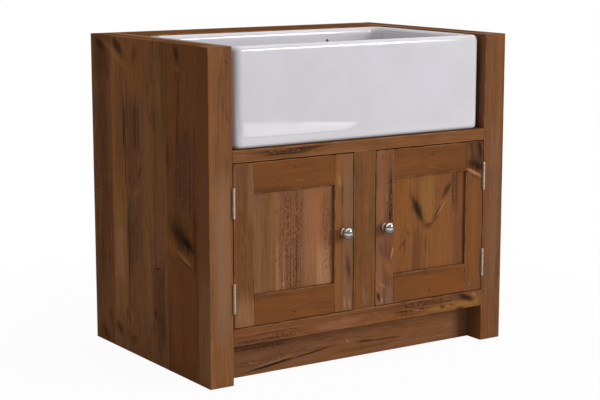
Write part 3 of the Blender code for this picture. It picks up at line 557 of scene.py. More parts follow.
# Timber: the whole unit's boards
fit = 0.0003                                            # gap between parts that meet
frontY = float(spread("right_front_post")[0][1])        # face of the front frame
innerX = float(spread("right_front_post")[0][0])        # inner face of the right post
mortise = {"depth": 0.0010, "far": 0.0193}
innerMeans = [(150, 108, 68), (141, 99, 62), (156, 115, 76), (146, 102, 62)]
doorRail = {"mean": (112, 69, 36), "contrast": 0.62, "lines": 0.2}
looks = {
    "leftPost": {"mean": (124, 83, 52), "contrast": 0.8, "rub": 0.1, "marks": [
        ("orange", 0.5, -470, 7, 600, 900), ("grey", 0.45, -440, 24, 100, 550),
        ("plum", 0.35, -415, 6, 300, 900), ("knot", 0.7, -448, 0.9, 715, 800),
        ("knot", 0.6, -432, 838, -424, 826, 4), ("orange", 0.35, -452, 12, 0, 120),
        ("pale", 0.16, -443, 40, 150, 520), ("dark", 0.12, -445, 50, 520, 900),
        ("sideBand", "dark", 0.35, -276, 100, -100, 980), ("sideBand", "umber", 0.85, -276, 100, 270, 980),
        ("sideBand", "plum", 0.55, -285, 14, 400, 560)]},
    "rightPost": {"mean": (112, 74, 47), "contrast": 0.8, "marks": [
        ("orange", 0.35, 463, 10, 500, 900), ("grey", 0.3, 450, 18, 160, 600),
        ("plum", 0.4, 416, 6, 150, 900)]},
    "sinkRail": {"mean": (119, 78, 47), "contrast": 0.9, "marks": [
        ("dark", 0.5, 594, 7, -320, -140), ("black", 0.75, 590, 2.6, -315, -200),
        ("black", 0.75, 601, 2.4, -240, -130), ("flecks", "black", 0.8, 596, 8, -330, -130),
        ("orange", 0.6, 588, -190, 602, -100, 3), ("pink", 0.3, 582, 6, -200, 0),
        ("knot", 0.5, 592, 68, 587, 76, 4)]},
    "bottomRail": {"mean": (116, 74, 45), "contrast": 0.95, "marks": [
        ("pink", 0.5, 118, 12, -150, -15), ("dark", 0.5, 137, 6, -60, 130),
        ("flecks", "knot", 0.75, 117, 15, -410, -200), ("dark", 0.3, 108, 6, -410, -250),
        ("knot", 0.6, 129, 40, 121, 50, 6), ("pink", 0.5, 134, 30, 116, 60, 4),
        ("red", 0.55, 126, 20, 130, 270), ("flecks", "black", 0.95, 126, 22, 120, 340),
        ("gold", 0.55, 116, 13, 225, 375), ("knot", 0.8, 118, 258, 113, 284, 6),
        ("plum", 0.85, 146, 288, 132, 372, 16), ("black", 0.85, 146, 320, 120, 388, 11),
        ("gold", 0.6, 110, 382, 124, 402, 7), ("pale", 0.6, 142, 374, 134, 394, 5),
        ("dark", 0.6, 138, 200, 126, 290, 9), ("orange", 0.7, 108, 245, 120, 350, 3.5),
        ("plum", 0.6, 132, 150, 118, 200, 8), ("pale", 0.45, 124, 146, 116, 206, 3),
        ("red", 0.75, 121, 290, 115, 314, 6), ("knot", 0.8, 107, 316, 103, 354, 5)]},
    "centreStile": {"mean": (115, 76, 46), "contrast": 0.9, "marks": [
        ("red", 0.45, -10, 14, 260, 500), ("olive", 0.4, 24, 8, 300, 600), ("knot", 0.75, 23.5, 1, 150, 295),
        ("grey", 0.5, 4, 150, -4, 215, 8), ("dark", 0.4, -30, 5, 150, 450)]},
    "leftHingeStile": {"mean": (113, 74, 45), "contrast": 1.1, "marks": [
        ("red", 0.5, -394, 12, 235, 450), ("olive", 0.3, -360, 10, 220, 420),
        ("knot", 0.7, -362.5, 386, -361.5, 393, 2), ("knot", 0.6, -363, 307, -362, 313, 1.8),
        ("knot", 0.8, -349.5, 1, 232, 277), ("grey", 0.5, -400, 160, -388, 200, 6),
        ("grey", 0.3, -402, 5, 430, 580), ("pale", 0.4, -376, 36, 110, 222),
        ("pale", 0.24, -357, 14, 420, 580)]},
    "leftLockStile": {"mean": (118, 79, 49), "contrast": 0.9, "marks": [
        ("orange", 0.45, -86, 12, 150, 580), ("grey", 0.42, -54, 18, 150, 580),
        ("knot", 0.75, -73.5, 2.2, 440, 490), ("gold", 0.7, -88, 528, -78, 482, 8),
        ("plum", 0.8, -58, 325, -48, 212, 13), ("knot", 0.5, -56, 300, -50, 235, 6),
        ("dark", 0.5, -71.5, 1.6, 200, 440), ("pale", 0.6, -67, 198, -62, 150, 4),
        ("pale", 0.5, -50, 188, -47, 150, 5)]},
    "leftTopRail": {**doorRail, "marks": [
        ("knot", 0.75, 557, -227, 553, -217, 3), ("orange", 0.5, 518.5, -235, 518.5, -180, 3),
        # the two dark bands at 500 and 496 mm are painted shade along the rail's lower edge, over the
        # recessed panel
        ("dark", 0.5, 500, 9, -360, -230), ("dark", 0.4, 496, 8, -380, -70)]},
    "leftBottomRail": {**doorRail, "marks": [
        ("knot", 0.75, 172, -230, 169, -219, 3), ("orange", 0.4, 208, -240, 207, -170, 3),
        # the dark band at 224 mm is painted shade along the rail's top edge, beside the recessed panel
        ("dark", 0.5, 224, 9, -360, -240)]},
    "leftPanel": {"mean": (132, 90, 61), "contrast": 0.95, "marks": [
        ("olive", 0.5, -312, 36, 200, 520), ("grey", 0.25, -330, 8, 220, 500),
        ("red", 0.35, -283, 7, 230, 360), ("pale", 0.5, -270, 10, 200, 350),
        ("pink", 0.5, -165, 34, 280, 520), ("pale", 0.75, -128, 28, 180, 335),
        ("plum", 0.35, -230, 42, 200, 520), ("flecks", "knot", 0.55, -230, 50, 200, 510),
        ("flecks", "black", 0.4, -224, 24, 220, 460), ("pale", 0.6, -253, 2.2, 220, 350),
        ("pale", 0.4, -227, 1.6, 230, 320), ("red", 0.6, -278, 448, -270, 428, 6),
        ("pale", 0.8, -255, 252, -252, 240, 4), ("dark", 0.7, -278, 317, -274, 306, 3),
        ("flecks", "knot", 0.65, -116, 18, 240, 470), ("plum", 0.4, -102, 6, 300, 500)]},
    "rightLockStile": {"mean": (119, 79, 53), "contrast": 0.95, "marks": [
        ("pink", 0.4, 52, 14, 120, 620), ("plum", 0.55, 83, 14, 355, 520),
        ("flecks", "black", 0.9, 80, 17, 360, 510), ("dark", 0.35, 86, 10, 490, 580),
        ("red", 0.6, 62, 566, 52, 542, 8), ("plum", 0.5, 76, 24, 160, 330),
        ("orange", 0.7, 64, 282, 94, 222, 14), ("plum", 0.7, 44, 335, 62, 278, 10),
        ("pale", 0.8, 98, 314, 87, 268, 4), ("dark", 0.6, 91, 318, 79, 270, 4),
        ("gold", 0.6, 48, 214, 74, 194, 6), ("plum", 0.7, 72, 214, 92, 192, 7),
        ("black", 0.85, 42, 190, 54, 158, 7), ("pale", 0.7, 56, 176, 62, 150, 4),
        ("grey", 0.5, 84, 14, 120, 205)]},
    "rightHingeStile": {"mean": (111, 70, 41), "contrast": 0.75, "marks": [
        ("knot", 0.75, 380, 40, 495, 620), ("olive", 0.7, 352, 575, 358, 515, 12),
        ("plum", 0.7, 370, 585, 384, 520, 11), ("black", 0.75, 352, 520, 416, 492, 14),
        ("black", 0.6, 392, 580, 404, 515, 8), ("pale", 0.85, 342, 504, 412, 470, 5),
        ("dark", 0.6, 350, 488, 412, 458, 3), ("orange", 0.25, 376, 16, 170, 470),
        ("grey", 0.5, 360, 160, 372, 180, 5)]},
    "rightTopRail": {**doorRail, "marks": [
        ("knot", 0.75, 553, 222, 550, 233, 3), ("orange", 0.5, 516, 200, 515, 250, 3),
        # the two dark bands at 500 and 496 mm are painted shade along the rail's lower edge, over the
        # recessed panel
        ("dark", 0.45, 500, 9, 240, 360), ("dark", 0.3, 496, 8, 70, 380)]},
    "rightBottomRail": {**doorRail, "marks": [
        ("knot", 0.75, 172, 217, 169, 228, 3), ("orange", 0.4, 208, 190, 207, 240, 3),
        # the dark band at 225 mm is painted shade along the rail's top edge, beside the recessed panel
        ("dark", 0.45, 225, 8, 90, 220)]},
    "rightPanel": {"mean": (122, 78, 44), "contrast": 0.85, "marks": [
        ("gold", 0.4, 215, 30, 360, 520), ("dark", 0.5, 182, 20, 200, 350),
        ("orange", 0.3, 270, 30, 200, 400), ("pink", 0.5, 220, 2.6, 220, 345),
        ("knot", 0.85, 158, 456, 209, 350, 18), ("black", 0.6, 166, 436, 205, 362, 10),
        ("dark", 0.8, 226, 342, 272, 408, 9), ("dark", 0.85, 262, 414, 304, 474, 11),
        ("knot", 0.7, 240, 366, 266, 402, 8), ("knot", 0.6, 278, 432, 300, 466, 7),
        ("pale", 0.55, 240, 364, 290, 424, 4), ("red", 0.85, 192, 352, 240, 346, 9),
        ("knot", 0.6, 212, 352, 238, 358, 6), ("flecks", "black", 0.95, 312, 16, 390, 510),
        ("plum", 0.5, 326, 20, 200, 520), ("dark", 0.8, 126, 298, 148, 324, 6),
        ("dark", 0.7, 150, 348, 156, 326, 5)]},
    "plinthBoard": {"mean": (121, 81, 53), "contrast": 0.95, "marks": [
        ("flecks", "black", 0.95, 78, 14, -400, -210), ("dark", 0.5, 80, 8, -400, -220),
        ("flecks", "knot", 0.7, 32, 12, -380, -200), ("black", 0.9, 8, -360, 30, -160, 4.5),
        ("black", 0.8, 24, -200, 44, -45, 3.5), ("pale", 0.5, 16, -330, 36, -180, 3),
        ("black", 0.8, 41, 12, 36, 85, 4), ("knot", 0.7, 38, 60, 33, 180, 3), ("dark", 0.4, 22, 8, -50, 120),
        ("pale", 0.5, 52, -20, 40, -4, 5)]},
    "rearTopBoard": {"mean": (118, 76, 44), "contrast": 0.9, "gloss": 0.0},
    "leftTopStrip": {"mean": (112, 72, 42), "contrast": 0.9, "gloss": 0.0},
}
looks["rightTopStrip"] = looks["leftTopStrip"]
# A light branch across three boards, and a knot on the joint of two
streak = ("gold", 0.42, 290, 870, 112, 780, 14)
swirl = [
    ("plum", 0.7, 152, 126, 127, 84, 14), ("gold", 0.6, 168, 86, 118, 64, 4),
    ("dark", 0.6, 172, 94, 128, 68, 3)]
sideLooks = [
    {"mean": (111, 71, 42), "marks": [
        ("red", 0.4, -165, 85, -50, 310), ("dark", 0.2, -200, 50, -50, 300),
        ("dark", 0.45, -243, 14, 50, 300), ("plum", 0.55, -190, 75, 560, 655),
        ("plum", 0.5, -200, 65, 435, 545), ("flecks", "knot", 0.6, -190, 70, 440, 660),
        ("orange", 0.2, -118, 30, 600, 950), ("red", 0.3, -210, 40, 680, 950),
        ("olive", 0.5, -158, 8, 640, 800), ("flecks", "black", 0.6, -158, 10, 640, 800),
        ("knot", 0.8, -135, 870, -160, 822, 14), ("gold", 0.4, -140, 812, -162, 798, 6),
        ("dark", 0.75, -96, 420, -224, 372, 40), ("red", 0.5, -224, 22, 340, 460),
        ("orange", 0.5, -84, 368, -130, 312, 16), ("black", 0.65, -92, 402, -244, 333, 32),
        ("black", 0.7, -160, 374, -232, 341, 13), ("knot", 0.6, -234, 12, 290, 440),
        ("gold", 0.55, -122, 338, -228, 301, 8), ("dark", 0.7, -145, 318, -236, 288, 4)]},
    {"mean": (119, 80, 52), "marks": [
        ("olive", 0.6, -72, 20, 600, 950), ("dark", 0.3, -76, 14, 600, 950),
        ("olive", 0.45, -50, 40, 420, 640), ("gold", 0.25, 25, 26, 120, 420), ("pink", 0.2, 15, 30, 450, 720),
        ("orange", 0.3, 28, 30, 720, 950), ("dark", 0.35, -20, 6, 280, 450), ("dark", 0.45, -48, 40, 40, 260),
        ("flecks", "knot", 0.6, -42, 42, 50, 270), ("plum", 0.7, -20, 12, 120, 260),
        ("knot", 0.75, -10, 262, -50, 268, 4), ("knot", 0.6, -10, 264, -17, 242, 4),
        ("plum", 0.7, 2, 108, -22, 83, 12), ("black", 0.5, -16, 160, -24, 120, 8),
        ("dark", 0.6, -30, 62, -45, 30, 10)]},
    {"mean": (119, 80, 54), "marks": [
        ("plum", 0.5, 85, 30, 250, 400), ("plum", 0.5, 100, 45, 450, 720), ("plum", 0.6, 78, 28, 580, 690),
        ("flecks", "knot", 0.55, 80, 32, 570, 700), ("orange", 0.3, 90, 45, 720, 950),
        ("dark", 0.55, 60, 862, 105, 795, 18), ("black", 0.8, 130, 2.8, 150, 405),
        ("black", 0.75, 121.5, 2.5, 220, 400), ("black", 0.6, 112, 2.5, 230, 360),
        ("dark", 0.6, 126, 505, 104, 450, 6), ("dark", 0.6, 84, 500, 106, 452, 5),
        ("knot", 0.8, 54, 538, 67, 486, 6), ("gold", 0.3, 60, 480, 100, 435, 9), *swirl,
        ("gold", 0.5, 119, 130, 117, 72, 4), ("dark", 0.6, 130, 36, 88, 46, 14), streak]},
    {"mean": (130, 89, 58), "marks": [
        ("orange", 0.3, 195, 40, 440, 860), ("gold", 0.4, 182, 46, 100, 460),
        ("pale", 0.35, 182, 30, 200, 340), ("red", 0.35, 175, 34, 450, 800),
        ("black", 0.85, 150, 4.2, 560, 700), ("black", 0.8, 142, 3.6, 460, 690),
        ("black", 0.85, 212, 868, 150, 826, 16), ("dark", 0.6, 225, 872, 135, 806, 24),
        ("knot", 0.6, 216, 76, 168, 38, 17), *swirl, streak]},
    {"mean": (115, 75, 48), "marks": [
        ("dark", 0.65, 280, 60, 760, 870), ("plum", 0.4, 285, 50, 450, 700),
        ("flecks", "knot", 0.5, 280, 50, 200, 780), ("knot", 0.5, 290, 4, 190, 400),
        ("dark", 0.45, 228, 3, 200, 420), ("knot", 0.75, 315, 858, 252, 828, 15),
        ("knot", 0.65, 308, 48, 256, 6, 15), ("red", 0.5, 320, 75, 268, 60, 12), streak]},
]
rightLooks = [
    {"mean": (118, 78, 49), "marks": [
        ("black", 0.8, -200, 610, -168, 570, 12), ("gold", 0.6, -215, 590, -160, 545, 6),
        ("plum", 0.4, -210, 22, 100, 420)]},
    {"mean": (110, 71, 43), "marks": [
        ("orange", 0.45, -90, 30, 50, 500), ("flecks", "knot", 0.6, -60, 34, 520, 780)]},
    {"mean": (124, 83, 52), "marks": [
        ("knot", 0.8, 18, 300, 50, 268, 10), ("gold", 0.5, 30, 20, 360, 800)]},
    {"mean": (113, 73, 46), "marks": [
        ("black", 0.7, 112, 1.6, 420, 600), ("plum", 0.45, 130, 26, 100, 400)]},
    {"mean": (121, 80, 50), "marks": [
        ("black", 0.75, 196, 130, 236, 98, 11), ("gold", 0.5, 190, 108, 240, 72, 5)]},
    {"mean": (115, 75, 47), "marks": [
        ("dark", 0.5, 300, 20, 300, 750), ("knot", 0.7, 268, 820, 300, 790, 10)]},
]
bareLooks = [{"mean": mean, "rub": 0.15} for mean in innerMeans]
boards = []


def addBoard(name, node, axes, body="carcass", box=None, cuts=(), **trim):
    # one piece for one board, its grain and wear its own; without a look it is bare wood inside the unit
    index = len(boards)
    boards.append(name)
    grainSeed, wearSeed = 1.0 + 0.37 * index, 40 + 10 * index
    look = looks.get(name, bareLooks[index % len(bareLooks)])
    finish = pineFinish(name + "Pine", look, axes, grainSeed)
    low, high = box or spread(node)
    shell = plankShell(low, high, axes[0], wearSeed, cuts, **trim)
    newPiece(name, [shell], [finish], body, "pine" if name in looks else "inner_pine", [node])


for side, sign in (("left", -1), ("right", 1)):
    door = side + "_door"
    leaves = [spread(f"{side}_{level}_frame_leaf") for level in ("upper", "lower")]
    far, depth = frontY + mortise["far"], mortise["depth"]
    cuts = [(leaf[0][2] - fit, leaf[1][2] + fit, far, depth) for leaf in leaves]
    addBoard(side + "Post", side + "_front_post", "zy", cuts=[(-sign, *cut) for cut in cuts])
    addBoard(side + "HingeStile", door + "_hinge_stile", "zy", door, cuts=[(sign, *cut) for cut in cuts])
    addBoard(side + "LockStile", door + "_lock_stile", "zy", door)
    stiles = [spread(door + "_hinge_stile"), spread(door + "_lock_stile")]
    left, right = sorted(stiles, key=lambda box: box[0][0])
    start, end = left[1][0], right[0][0]
    rails = {}
    for level in ("top", "bottom"):
        low, high = spread(f"{door}_{level}_rail")
        low[0], high[0] = start + fit, end - fit
        rails[level] = (low, high)
        addBoard(side + level.title() + "Rail", f"{door}_{level}_rail", "xy", door, (low, high))
    low, high = spread(door + "_panel")
    low[[0, 2]] = start, rails["bottom"][1][2]
    high[[0, 2]] = end, rails["top"][0][2]
    addBoard(side + "Panel", door + "_panel", "zy", door, (low, high), edge=0.0004, wear=0.0)
    addBoard(side + "TopStrip", side + "_top_strip", "yz")
    addBoard(side + "SinkBearer", side + "_sink_bearer", "yx")
    addBoard(side + "LedgeCleat", side + "_ledge_cleat", "yx")

for name, node in (("sinkRail", "sink_rail"), ("bottomRail", "bottom_rail")):
    low, high = spread(node)
    low[0], high[0] = -innerX + fit, innerX - fit
    addBoard(name, node, "xy", box=(low, high))
low, high = spread("centre_stile")
low[2] = spread("bottom_rail")[1][2] + fit
high[2] = spread("sink_rail")[0][2] - fit
addBoard("centreStile", "centre_stile", "zy", box=(low, high))
addBoard("plinthBoard", "plinth_board", "xy")
addBoard("rearTopBoard", "rear_top_board", "xz")
addBoard("rearFloorBearer", "rear_floor_bearer", "xy")
addBoard("rearSinkBearer", "rear_sink_bearer", "xy")
print("boards:", len(boards))


def gluedPanel(name, node, axes, joints, palette, slot, lap=0.0003, **trim):
    # one panel of boards with lapped edges, each with a finish of its own; axes names the way they lie
    # side by side, their grain and their face, and joints says where they meet, or how many there are
    low, high = spread(node)
    index = "xyz".index(axes[0])
    if isinstance(joints, int):
        joints = np.linspace(low[index], high[index], joints + 1)[1:-1].tolist()
    limits = [float(low[index]), *joints, float(high[index])]
    shells, finishes = [], []
    for count, (start, end) in enumerate(zip(limits, limits[1:])):
        box = low.copy(), high.copy()
        box[0][index] = start - (lap if count else 0)
        box[1][index] = end + (lap if end != limits[-1] else 0)
        grainSeed, wearSeed = 3.1 + 0.61 * count + 0.13 * len(name), 7 + 31 * len(name) + count
        shells.append(plankShell(*box, axes[1], wearSeed, finish=count, **trim))
        look = palette[count % len(palette)]
        finishes.append(pineFinish(f"{name}Pine{count + 1}", look, axes[1:], grainSeed))
    newPiece(name, shells, finishes, "carcass", slot, [node])


sideTrim = {"edge": 0.0006, "wear": 0.0004}
sideJoints = {"left": [-0.088, 0.050, 0.140, 0.220], "right": [-0.15, -0.02, 0.066, 0.185, 0.25]}
for side, palette in zip(sides, (sideLooks, rightLooks)):
    palette = [{**look, "gloss": 0.0, "rub": 0.12, "contrast": 1.25} for look in palette]
    gluedPanel(side + "Side", side + "_side_panel", "yzx", sideJoints[side], palette, "pine", **sideTrim)
linerJoints = [-0.10, 0.03, 0.19]
linerMeans = [(128, 86, 52), (120, 79, 47), (134, 92, 58)]
linerLooks = [{"mean": mean, "contrast": 0.9, "rub": 0.2} for mean in linerMeans]
for side in sides:
    gluedPanel(side + "Liner", side + "_inner_liner", "yzx", linerJoints, linerLooks, "pine", edge=0.0006)
gluedPanel("cupboardFloor", "cupboard_floor", "yxz", 5, bareLooks, "inner_pine", edge=0.0008)
gluedPanel("backBoards", "back_panel", "xzy", 8, bareLooks, "inner_pine", edge=0.0026, wear=0.0008)
print("panels of joined boards done")


# Glazed basin
basin = {"wall": 0.026, "floor": 0.038, "corner": 0.025, "bowlCorner": 0.030, "rim": 0.0117,
         "rimDepth": 0.020, "base": 0.011, "fillet": 0.025, "fall": 0.004, "recess": 0.0564, "dish": 0.006,
         "recessDepth": 0.0033, "lip": 0.0006, "hole": 0.045, "wasteX": 0.190, "overflowDrop": 0.035,
         "overflow": 0.005, "patch": 0.009, "bore": 0.009, "steps": 10}
glaze = {"thin": (201, 198, 203), "thick": (205, 203, 208), "pin": (150, 146, 142), "ripple": 0.05,
         "rippleDepth": 0.0016, "polish": 0.02, "dull": 0.04, "coat": 0.6}
# the clay's stain tone is partly painted shade, standing in for the dark depth of the overflow
clay = {"pale": (186, 178, 168), "stainAndShade": (146, 138, 128), "rough": 0.85}


def basinRows(height):
    # (inset, height) of each ring, up the outside, over the rim and down the inside to the floor's edge
    wall, rim, depth = basin["wall"], basin["rim"], basin["rimDepth"]
    base, fillet = basin["base"], basin["fillet"]
    floor = basin["floor"] + basin["fall"]
    turn = np.linspace(0, np.pi / 2, 13)
    sine, cosine = 1 - np.sin(turn), 1 - np.cos(turn)
    patch = height - basin["overflowDrop"] + np.linspace(1, -1, 5) * basin["patch"]
    outside = [(base * sine[::3], base * cosine[::3]),
               (0.0, np.linspace(0.03, height - depth - 0.02, 5)),
               (rim * cosine, height - depth * sine)]
    inside = [(wall - rim * sine, height - depth * cosine), (wall, patch),
              (wall, np.linspace(patch[-1] - 0.03, floor + fillet + 0.01, 4)),
              (wall + fillet * cosine, floor + fillet * sine)]
    runs = [stacked(*run) for run in outside + inside]
    outer = sum(len(run) for run in runs[:len(outside)])
    return np.concatenate(runs), outer, outer + len(turn)


def makeBasin():
    # rounded rectangles stacked from the waste hole's foot, out below, up the outside, over the rim, down
    # the inside and back to the hole; a square of the back wall gives way to the overflow's ring and bore
    low, high = spread("sink_basin")
    half = (high - low)[:2] / 2
    middle = (low + high) / 2
    wall, floor = basin["wall"], basin["floor"]
    rows, outer, firstPatch = basinRows(float(high[2] - low[2]))
    inset = rows[:, 0]
    corner = np.where(np.arange(len(rows)) < outer, np.maximum(basin["corner"] - inset, 0.002),
                      np.maximum(basin["bowlCorner"] + wall - inset, 0.006))
    straight = 2 * (half[0] - wall - basin["bowlCorner"])
    patchX = 0.5 - (basin["wasteX"] + np.linspace(1, -1, 5) * basin["patch"]) / straight
    plainRun = np.union1d(np.linspace(0, 1, 13)[1:-1], [0.004, 0.996])
    backRun = np.union1d(plainRun[np.abs(plainRun - patchX[2]) > 0.04], patchX)
    stations = ringStations([backRun, plainRun, plainRun, plainRun], basin["steps"])
    radius = np.repeat(corner[:, None], 4, 1)
    rings = roundedRings(half[0] - inset, half[1] - inset, radius, stations)[0]
    cols = rings.shape[1]
    body = stacked(rings[..., 0], rings[..., 1], rows[:, 1:])
    edgeRing = body[-1]
    waste = np.array([basin["wasteX"], 0.0])
    away = edgeRing[:, :2] - waste
    around = away / np.linalg.norm(away, axis=1, keepdims=True)

    def circle(radius, z):
        return stacked(*(waste + radius * around).T, z)

    recess, lip, shelf = basin["recess"], basin["lip"], floor - basin["recessDepth"]
    dish = circle(recess + basin["dish"], floor + 0.0004)
    shares = np.linspace(0, 1, 7)[1:-1, None, None]
    slope = edgeRing[None] * (1 - shares) + dish[None] * shares
    slope[..., 2] = floor + basin["fall"] * (1 - shares[..., 0])
    ends = [dish, circle(recess + lip, floor), circle(recess, floor - lip), circle(recess, shelf),
            circle(basin["hole"], shelf), circle(basin["hole"], 0.0)]
    points = np.concatenate([body, slope, np.stack(ends)]) + (middle[0], middle[1], low[2])
    shell = ringShell(points, wrapRows=True)
    flat = shell["points"]
    firstCol = basin["steps"] + 1 + int(np.argmin(np.abs(backRun - patchX[0])))
    quads = gridFaces(len(points), cols, True)
    rowOf, colOf = quads[:, 0] // cols - firstPatch, quads[:, 0] % cols - firstCol
    inPatch = (rowOf >= 0) & (rowOf < 4) & (colOf >= 0) & (colOf < 4)
    kept = [face for face, gone in zip(shell["faces"], inPatch) if not gone]
    index = np.arange(len(flat)).reshape(len(points), cols)
    patch = index[firstPatch:firstPatch + 5, firstCol:firstCol + 5]
    loop = np.concatenate([patch[0, :-1], patch[:-1, -1], patch[-1, :0:-1], patch[:0:-1, 0]])
    centre = flat[patch[2, 2]]
    turn = np.arctan2(flat[loop, 2] - centre[2], flat[loop, 0] - centre[0])
    mouth = []
    for share, depth in ((1.16, 0.0), (1.03, 0.0004), (1.0, 0.0012), (1.0, basin["bore"])):
        radius = basin["overflow"] * share
        mouth.append(centre + stacked(radius * np.cos(turn), depth, radius * np.sin(turn)))
    flat = np.concatenate([flat, *mouth])
    ids = np.concatenate([loop, np.arange(len(flat) - 64, len(flat))])
    bridge = ids[gridFaces(5, 16)]
    bottom = ids[-16:][::-1]
    corners = flat[bridge[0]]
    if np.cross(corners[1] - corners[0], corners[2] - corners[0])[1] > 0:
        bridge, bottom = bridge[:, ::-1], bottom[::-1]
    glazed = kept + bridge[:32].tolist()
    bare = bridge[32:].tolist() + [bottom.tolist()]
    which = np.repeat([0, 1], [len(glazed), len(bare)])
    shell.update(points=flat, edge=np.zeros(len(flat)), faces=glazed + bare, finish=which)
    finishes = [glazeFinish(), clayAndShadeFinish()]
    newPiece("sinkBasin", [shell], finishes, "carcass", "glaze", ["sink_basin"], sharp=50)


def glazeFinish():
    # white glaze: faint pooling of tone, rare pinholes, and a slow ripple that bends reflections
    made, tree, shader = newFinish("whiteGlaze")
    spot = objectSpace(tree)
    pooled = cloud(spot, (9, 9, 9), 3.0)
    pins = eased(cloud(spot, (330, 330, 330), 1.0), 0.80, 0.84)
    colour = blended(eased(pooled, 0.3, 0.7), tone(glaze["thin"]), tone(glaze["thick"]))
    feed(shader, {"Base Color": blended(pins * 0.35, colour, tone(glaze["pin"])),
                  "Normal": bumped(cloud(spot, (14, 14, 10)), glaze["ripple"], glaze["rippleDepth"]),
                  "Roughness": eased(pooled, 0.3, 0.7, glaze["polish"], glaze["dull"]),
                  "Coat Weight": glaze["coat"], "Coat Roughness": glaze["polish"]})
    return made


def clayAndShadeFinish():
    # unglazed clay inside the overflow and on the end of its bore; the darker stain tone is partly water
    # stain and partly painted shade of the overflow's depth
    made, tree, shader = newFinish("clayAndPaintedShade")
    stainAndShade = cloud(objectSpace(tree), (260, 260, 260), 3.0)
    colour = blended(stainAndShade, tone(clay["pale"]), tone(clay["stainAndShade"]))
    feed(shader, {"Base Color": colour, "Roughness": clay["rough"]})
    return made


makeBasin()
print("basin done")


# Metal, rubber and plastic
def metalFinish(name, colour, low, high, bump=0.02, metal=1.0):
    made, tree, shader = newFinish(name)
    spot = objectSpace(tree)
    smudge = grouped(smudgeGroup, {"vector": spot, "low": low, "high": high})
    worn = eased(cloud(spot, (140, 140, 140), 3.0), 0.35, 0.7)
    feed(shader, {"Base Color": blended(worn, tone(colour), tone(np.array(colour) * 0.86)),
                  "Metallic": metal, "Roughness": smudge["rough"],
                  "Normal": bumped(smudge["height"], bump, 0.0002)})
    return made


def mouldedFinish(name, colour, rough, grain):
    # moulded surface: fine pebbling and slight yellowing
    made, tree, shader = newFinish(name)
    spot = objectSpace(tree)
    aged = eased(cloud(spot, (40, 40, 40), 3.0), 0.3, 0.7)
    yellowed = tone(np.array(colour) * (0.95, 0.94, 0.90))
    feed(shader, {"Base Color": blended(aged, tone(colour), yellowed),
                  "Normal": bumped(cloud(spot, (grain, grain, grain)), 0.2, 0.0002),
                  "Roughness": eased(aged, 0.0, 1.0, rough * 0.9, rough * 1.1)})
    return made


nickel = metalFinish("polishedNickel", (222, 217, 210), 0.12, 0.24)
roseNickel = metalFinish("satinNickel", (232, 227, 220), 0.34, 0.46)
hingeSteel = metalFinish("satinHingeSteel", (214, 194, 178), 0.45, 0.60, 0.05, 0.6)
brightSteel = metalFinish("brightSteel", (208, 209, 210), 0.12, 0.26, 0.04)
rubber = mouldedFinish("blackRubber", (34, 34, 34), 0.75, 900)
plastic = mouldedFinish("whitePlastic", (226, 225, 220), 0.42, 1400)

# Knobs: stepped rose, coved neck and a flattened ball
knob = {"head": 0.01675, "depth": 0.027, "neck": 0.006, "foot": 0.0075, "rose": 0.0105, "land": 0.0081,
        "shoulder": 0.0097, "step": 0.0012, "roseThick": 0.0035, "bore": 0.003}


def makeKnob(side):
    box = spread(side + "_knob")
    length = float(box[1][1] - box[0][1])
    centre = part(box, (0.5, 1, 0.5))
    behind = np.pi - np.arcsin(knob["neck"] / knob["head"])
    turn = np.linspace(0.03, behind, 30)                # an ellipse from the front's middle round to the neck
    ball = stacked(knob["head"] * np.sin(turn), length - knob["depth"] / 2 * (1 - np.cos(turn)))
    cove = bow(ball[-1], (knob["foot"], 0.0006), (knob["neck"] - 0.0004, 0.0008), 12)
    head = turnedShell([*ball, *cove[1:], (knob["foot"], 0.0)], centre, "-y", 72)
    newPiece(side + "Knob", [head], [nickel], side + "_door", "nickel", [side + "_knob"])
    rose, thick, land, bore = (knob[key] for key in ("rose", "roseThick", "land", "bore"))
    shoulder = (knob["shoulder"], knob["step"])
    ogee = [(land - 0.0003, thick), (land, thick),
            *bow((land, thick), shoulder, (land + 0.0003, 0.0014), 8)[1:],
            *bow(shoulder, (rose, 0.0), (rose, 0.0010), 5)[1:], (bore, 0.0), (bore, thick)]
    centre[1] = spread(side + "_knob_rose")[1][1]
    plate = turnedShell(ogee, centre, "-y", 72, closed=True)
    newPiece(side + "KnobRose", [plate], [roseNickel], side + "_door", "nickel", [side + "_knob_rose"])
    centre[1] = spread(side + "_knob_screw")[1][1] - 0.0009
    screw = screwShell(centre, "y", 0.004, dome=0.22, sunk=0.0016)
    newPiece(side + "KnobScrew", [screw], [brightSteel], side + "_door", "bright_steel",
             [side + "_knob_screw"])


for side in sides:
    makeKnob(side)
print("knobs done")

# Butt hinges: rolled knuckles on flat leaves, with button-ended pins and countersunk screws
hinge = {"barrel": 0.00315, "near": 0.00045, "thick": 0.0015, "depth": 0.019, "knuckles": 5, "tab": 0.001,
         "pinHead": 0.0012, "screw": 0.0032, "screwSpots": ((0.16, 0.0075), (0.5, 0.0125), (0.84, 0.0075)),
         "ease": 0.0003, "easeShare": 0.97}
hingeSpots = {joint["child"]: joint["pos_m"] for joint in frame["joints"] if joint["type"] == "hinge"}


def knuckleShell(axis, toward, low, high):
    # round the barrel from the leaf's outer face to its inner face, carried up the pin, with eased ends
    barrel, near, ease = hinge["barrel"], hinge["near"], hinge["ease"]
    far = near + hinge["thick"]
    tab = frontY - axis[1] + hinge["tab"]
    turn = np.linspace(np.pi - np.arccos(far / barrel), 3 * np.pi - np.arccos(near / barrel), 30)
    ring = np.concatenate([[(-near, tab), (-far, tab)], barrel * stacked(np.cos(turn), np.sin(turn))])
    shares = np.array([hinge["easeShare"], 1.0, 1.0, hinge["easeShare"]])
    flat = (ring * (-toward, 1))[None] * shares[:, None, None] + np.asarray(axis[:2])
    levels = np.array([low, low + ease, high - ease, high])
    return ringShell(stacked(flat[..., 0], flat[..., 1], levels[:, None]))


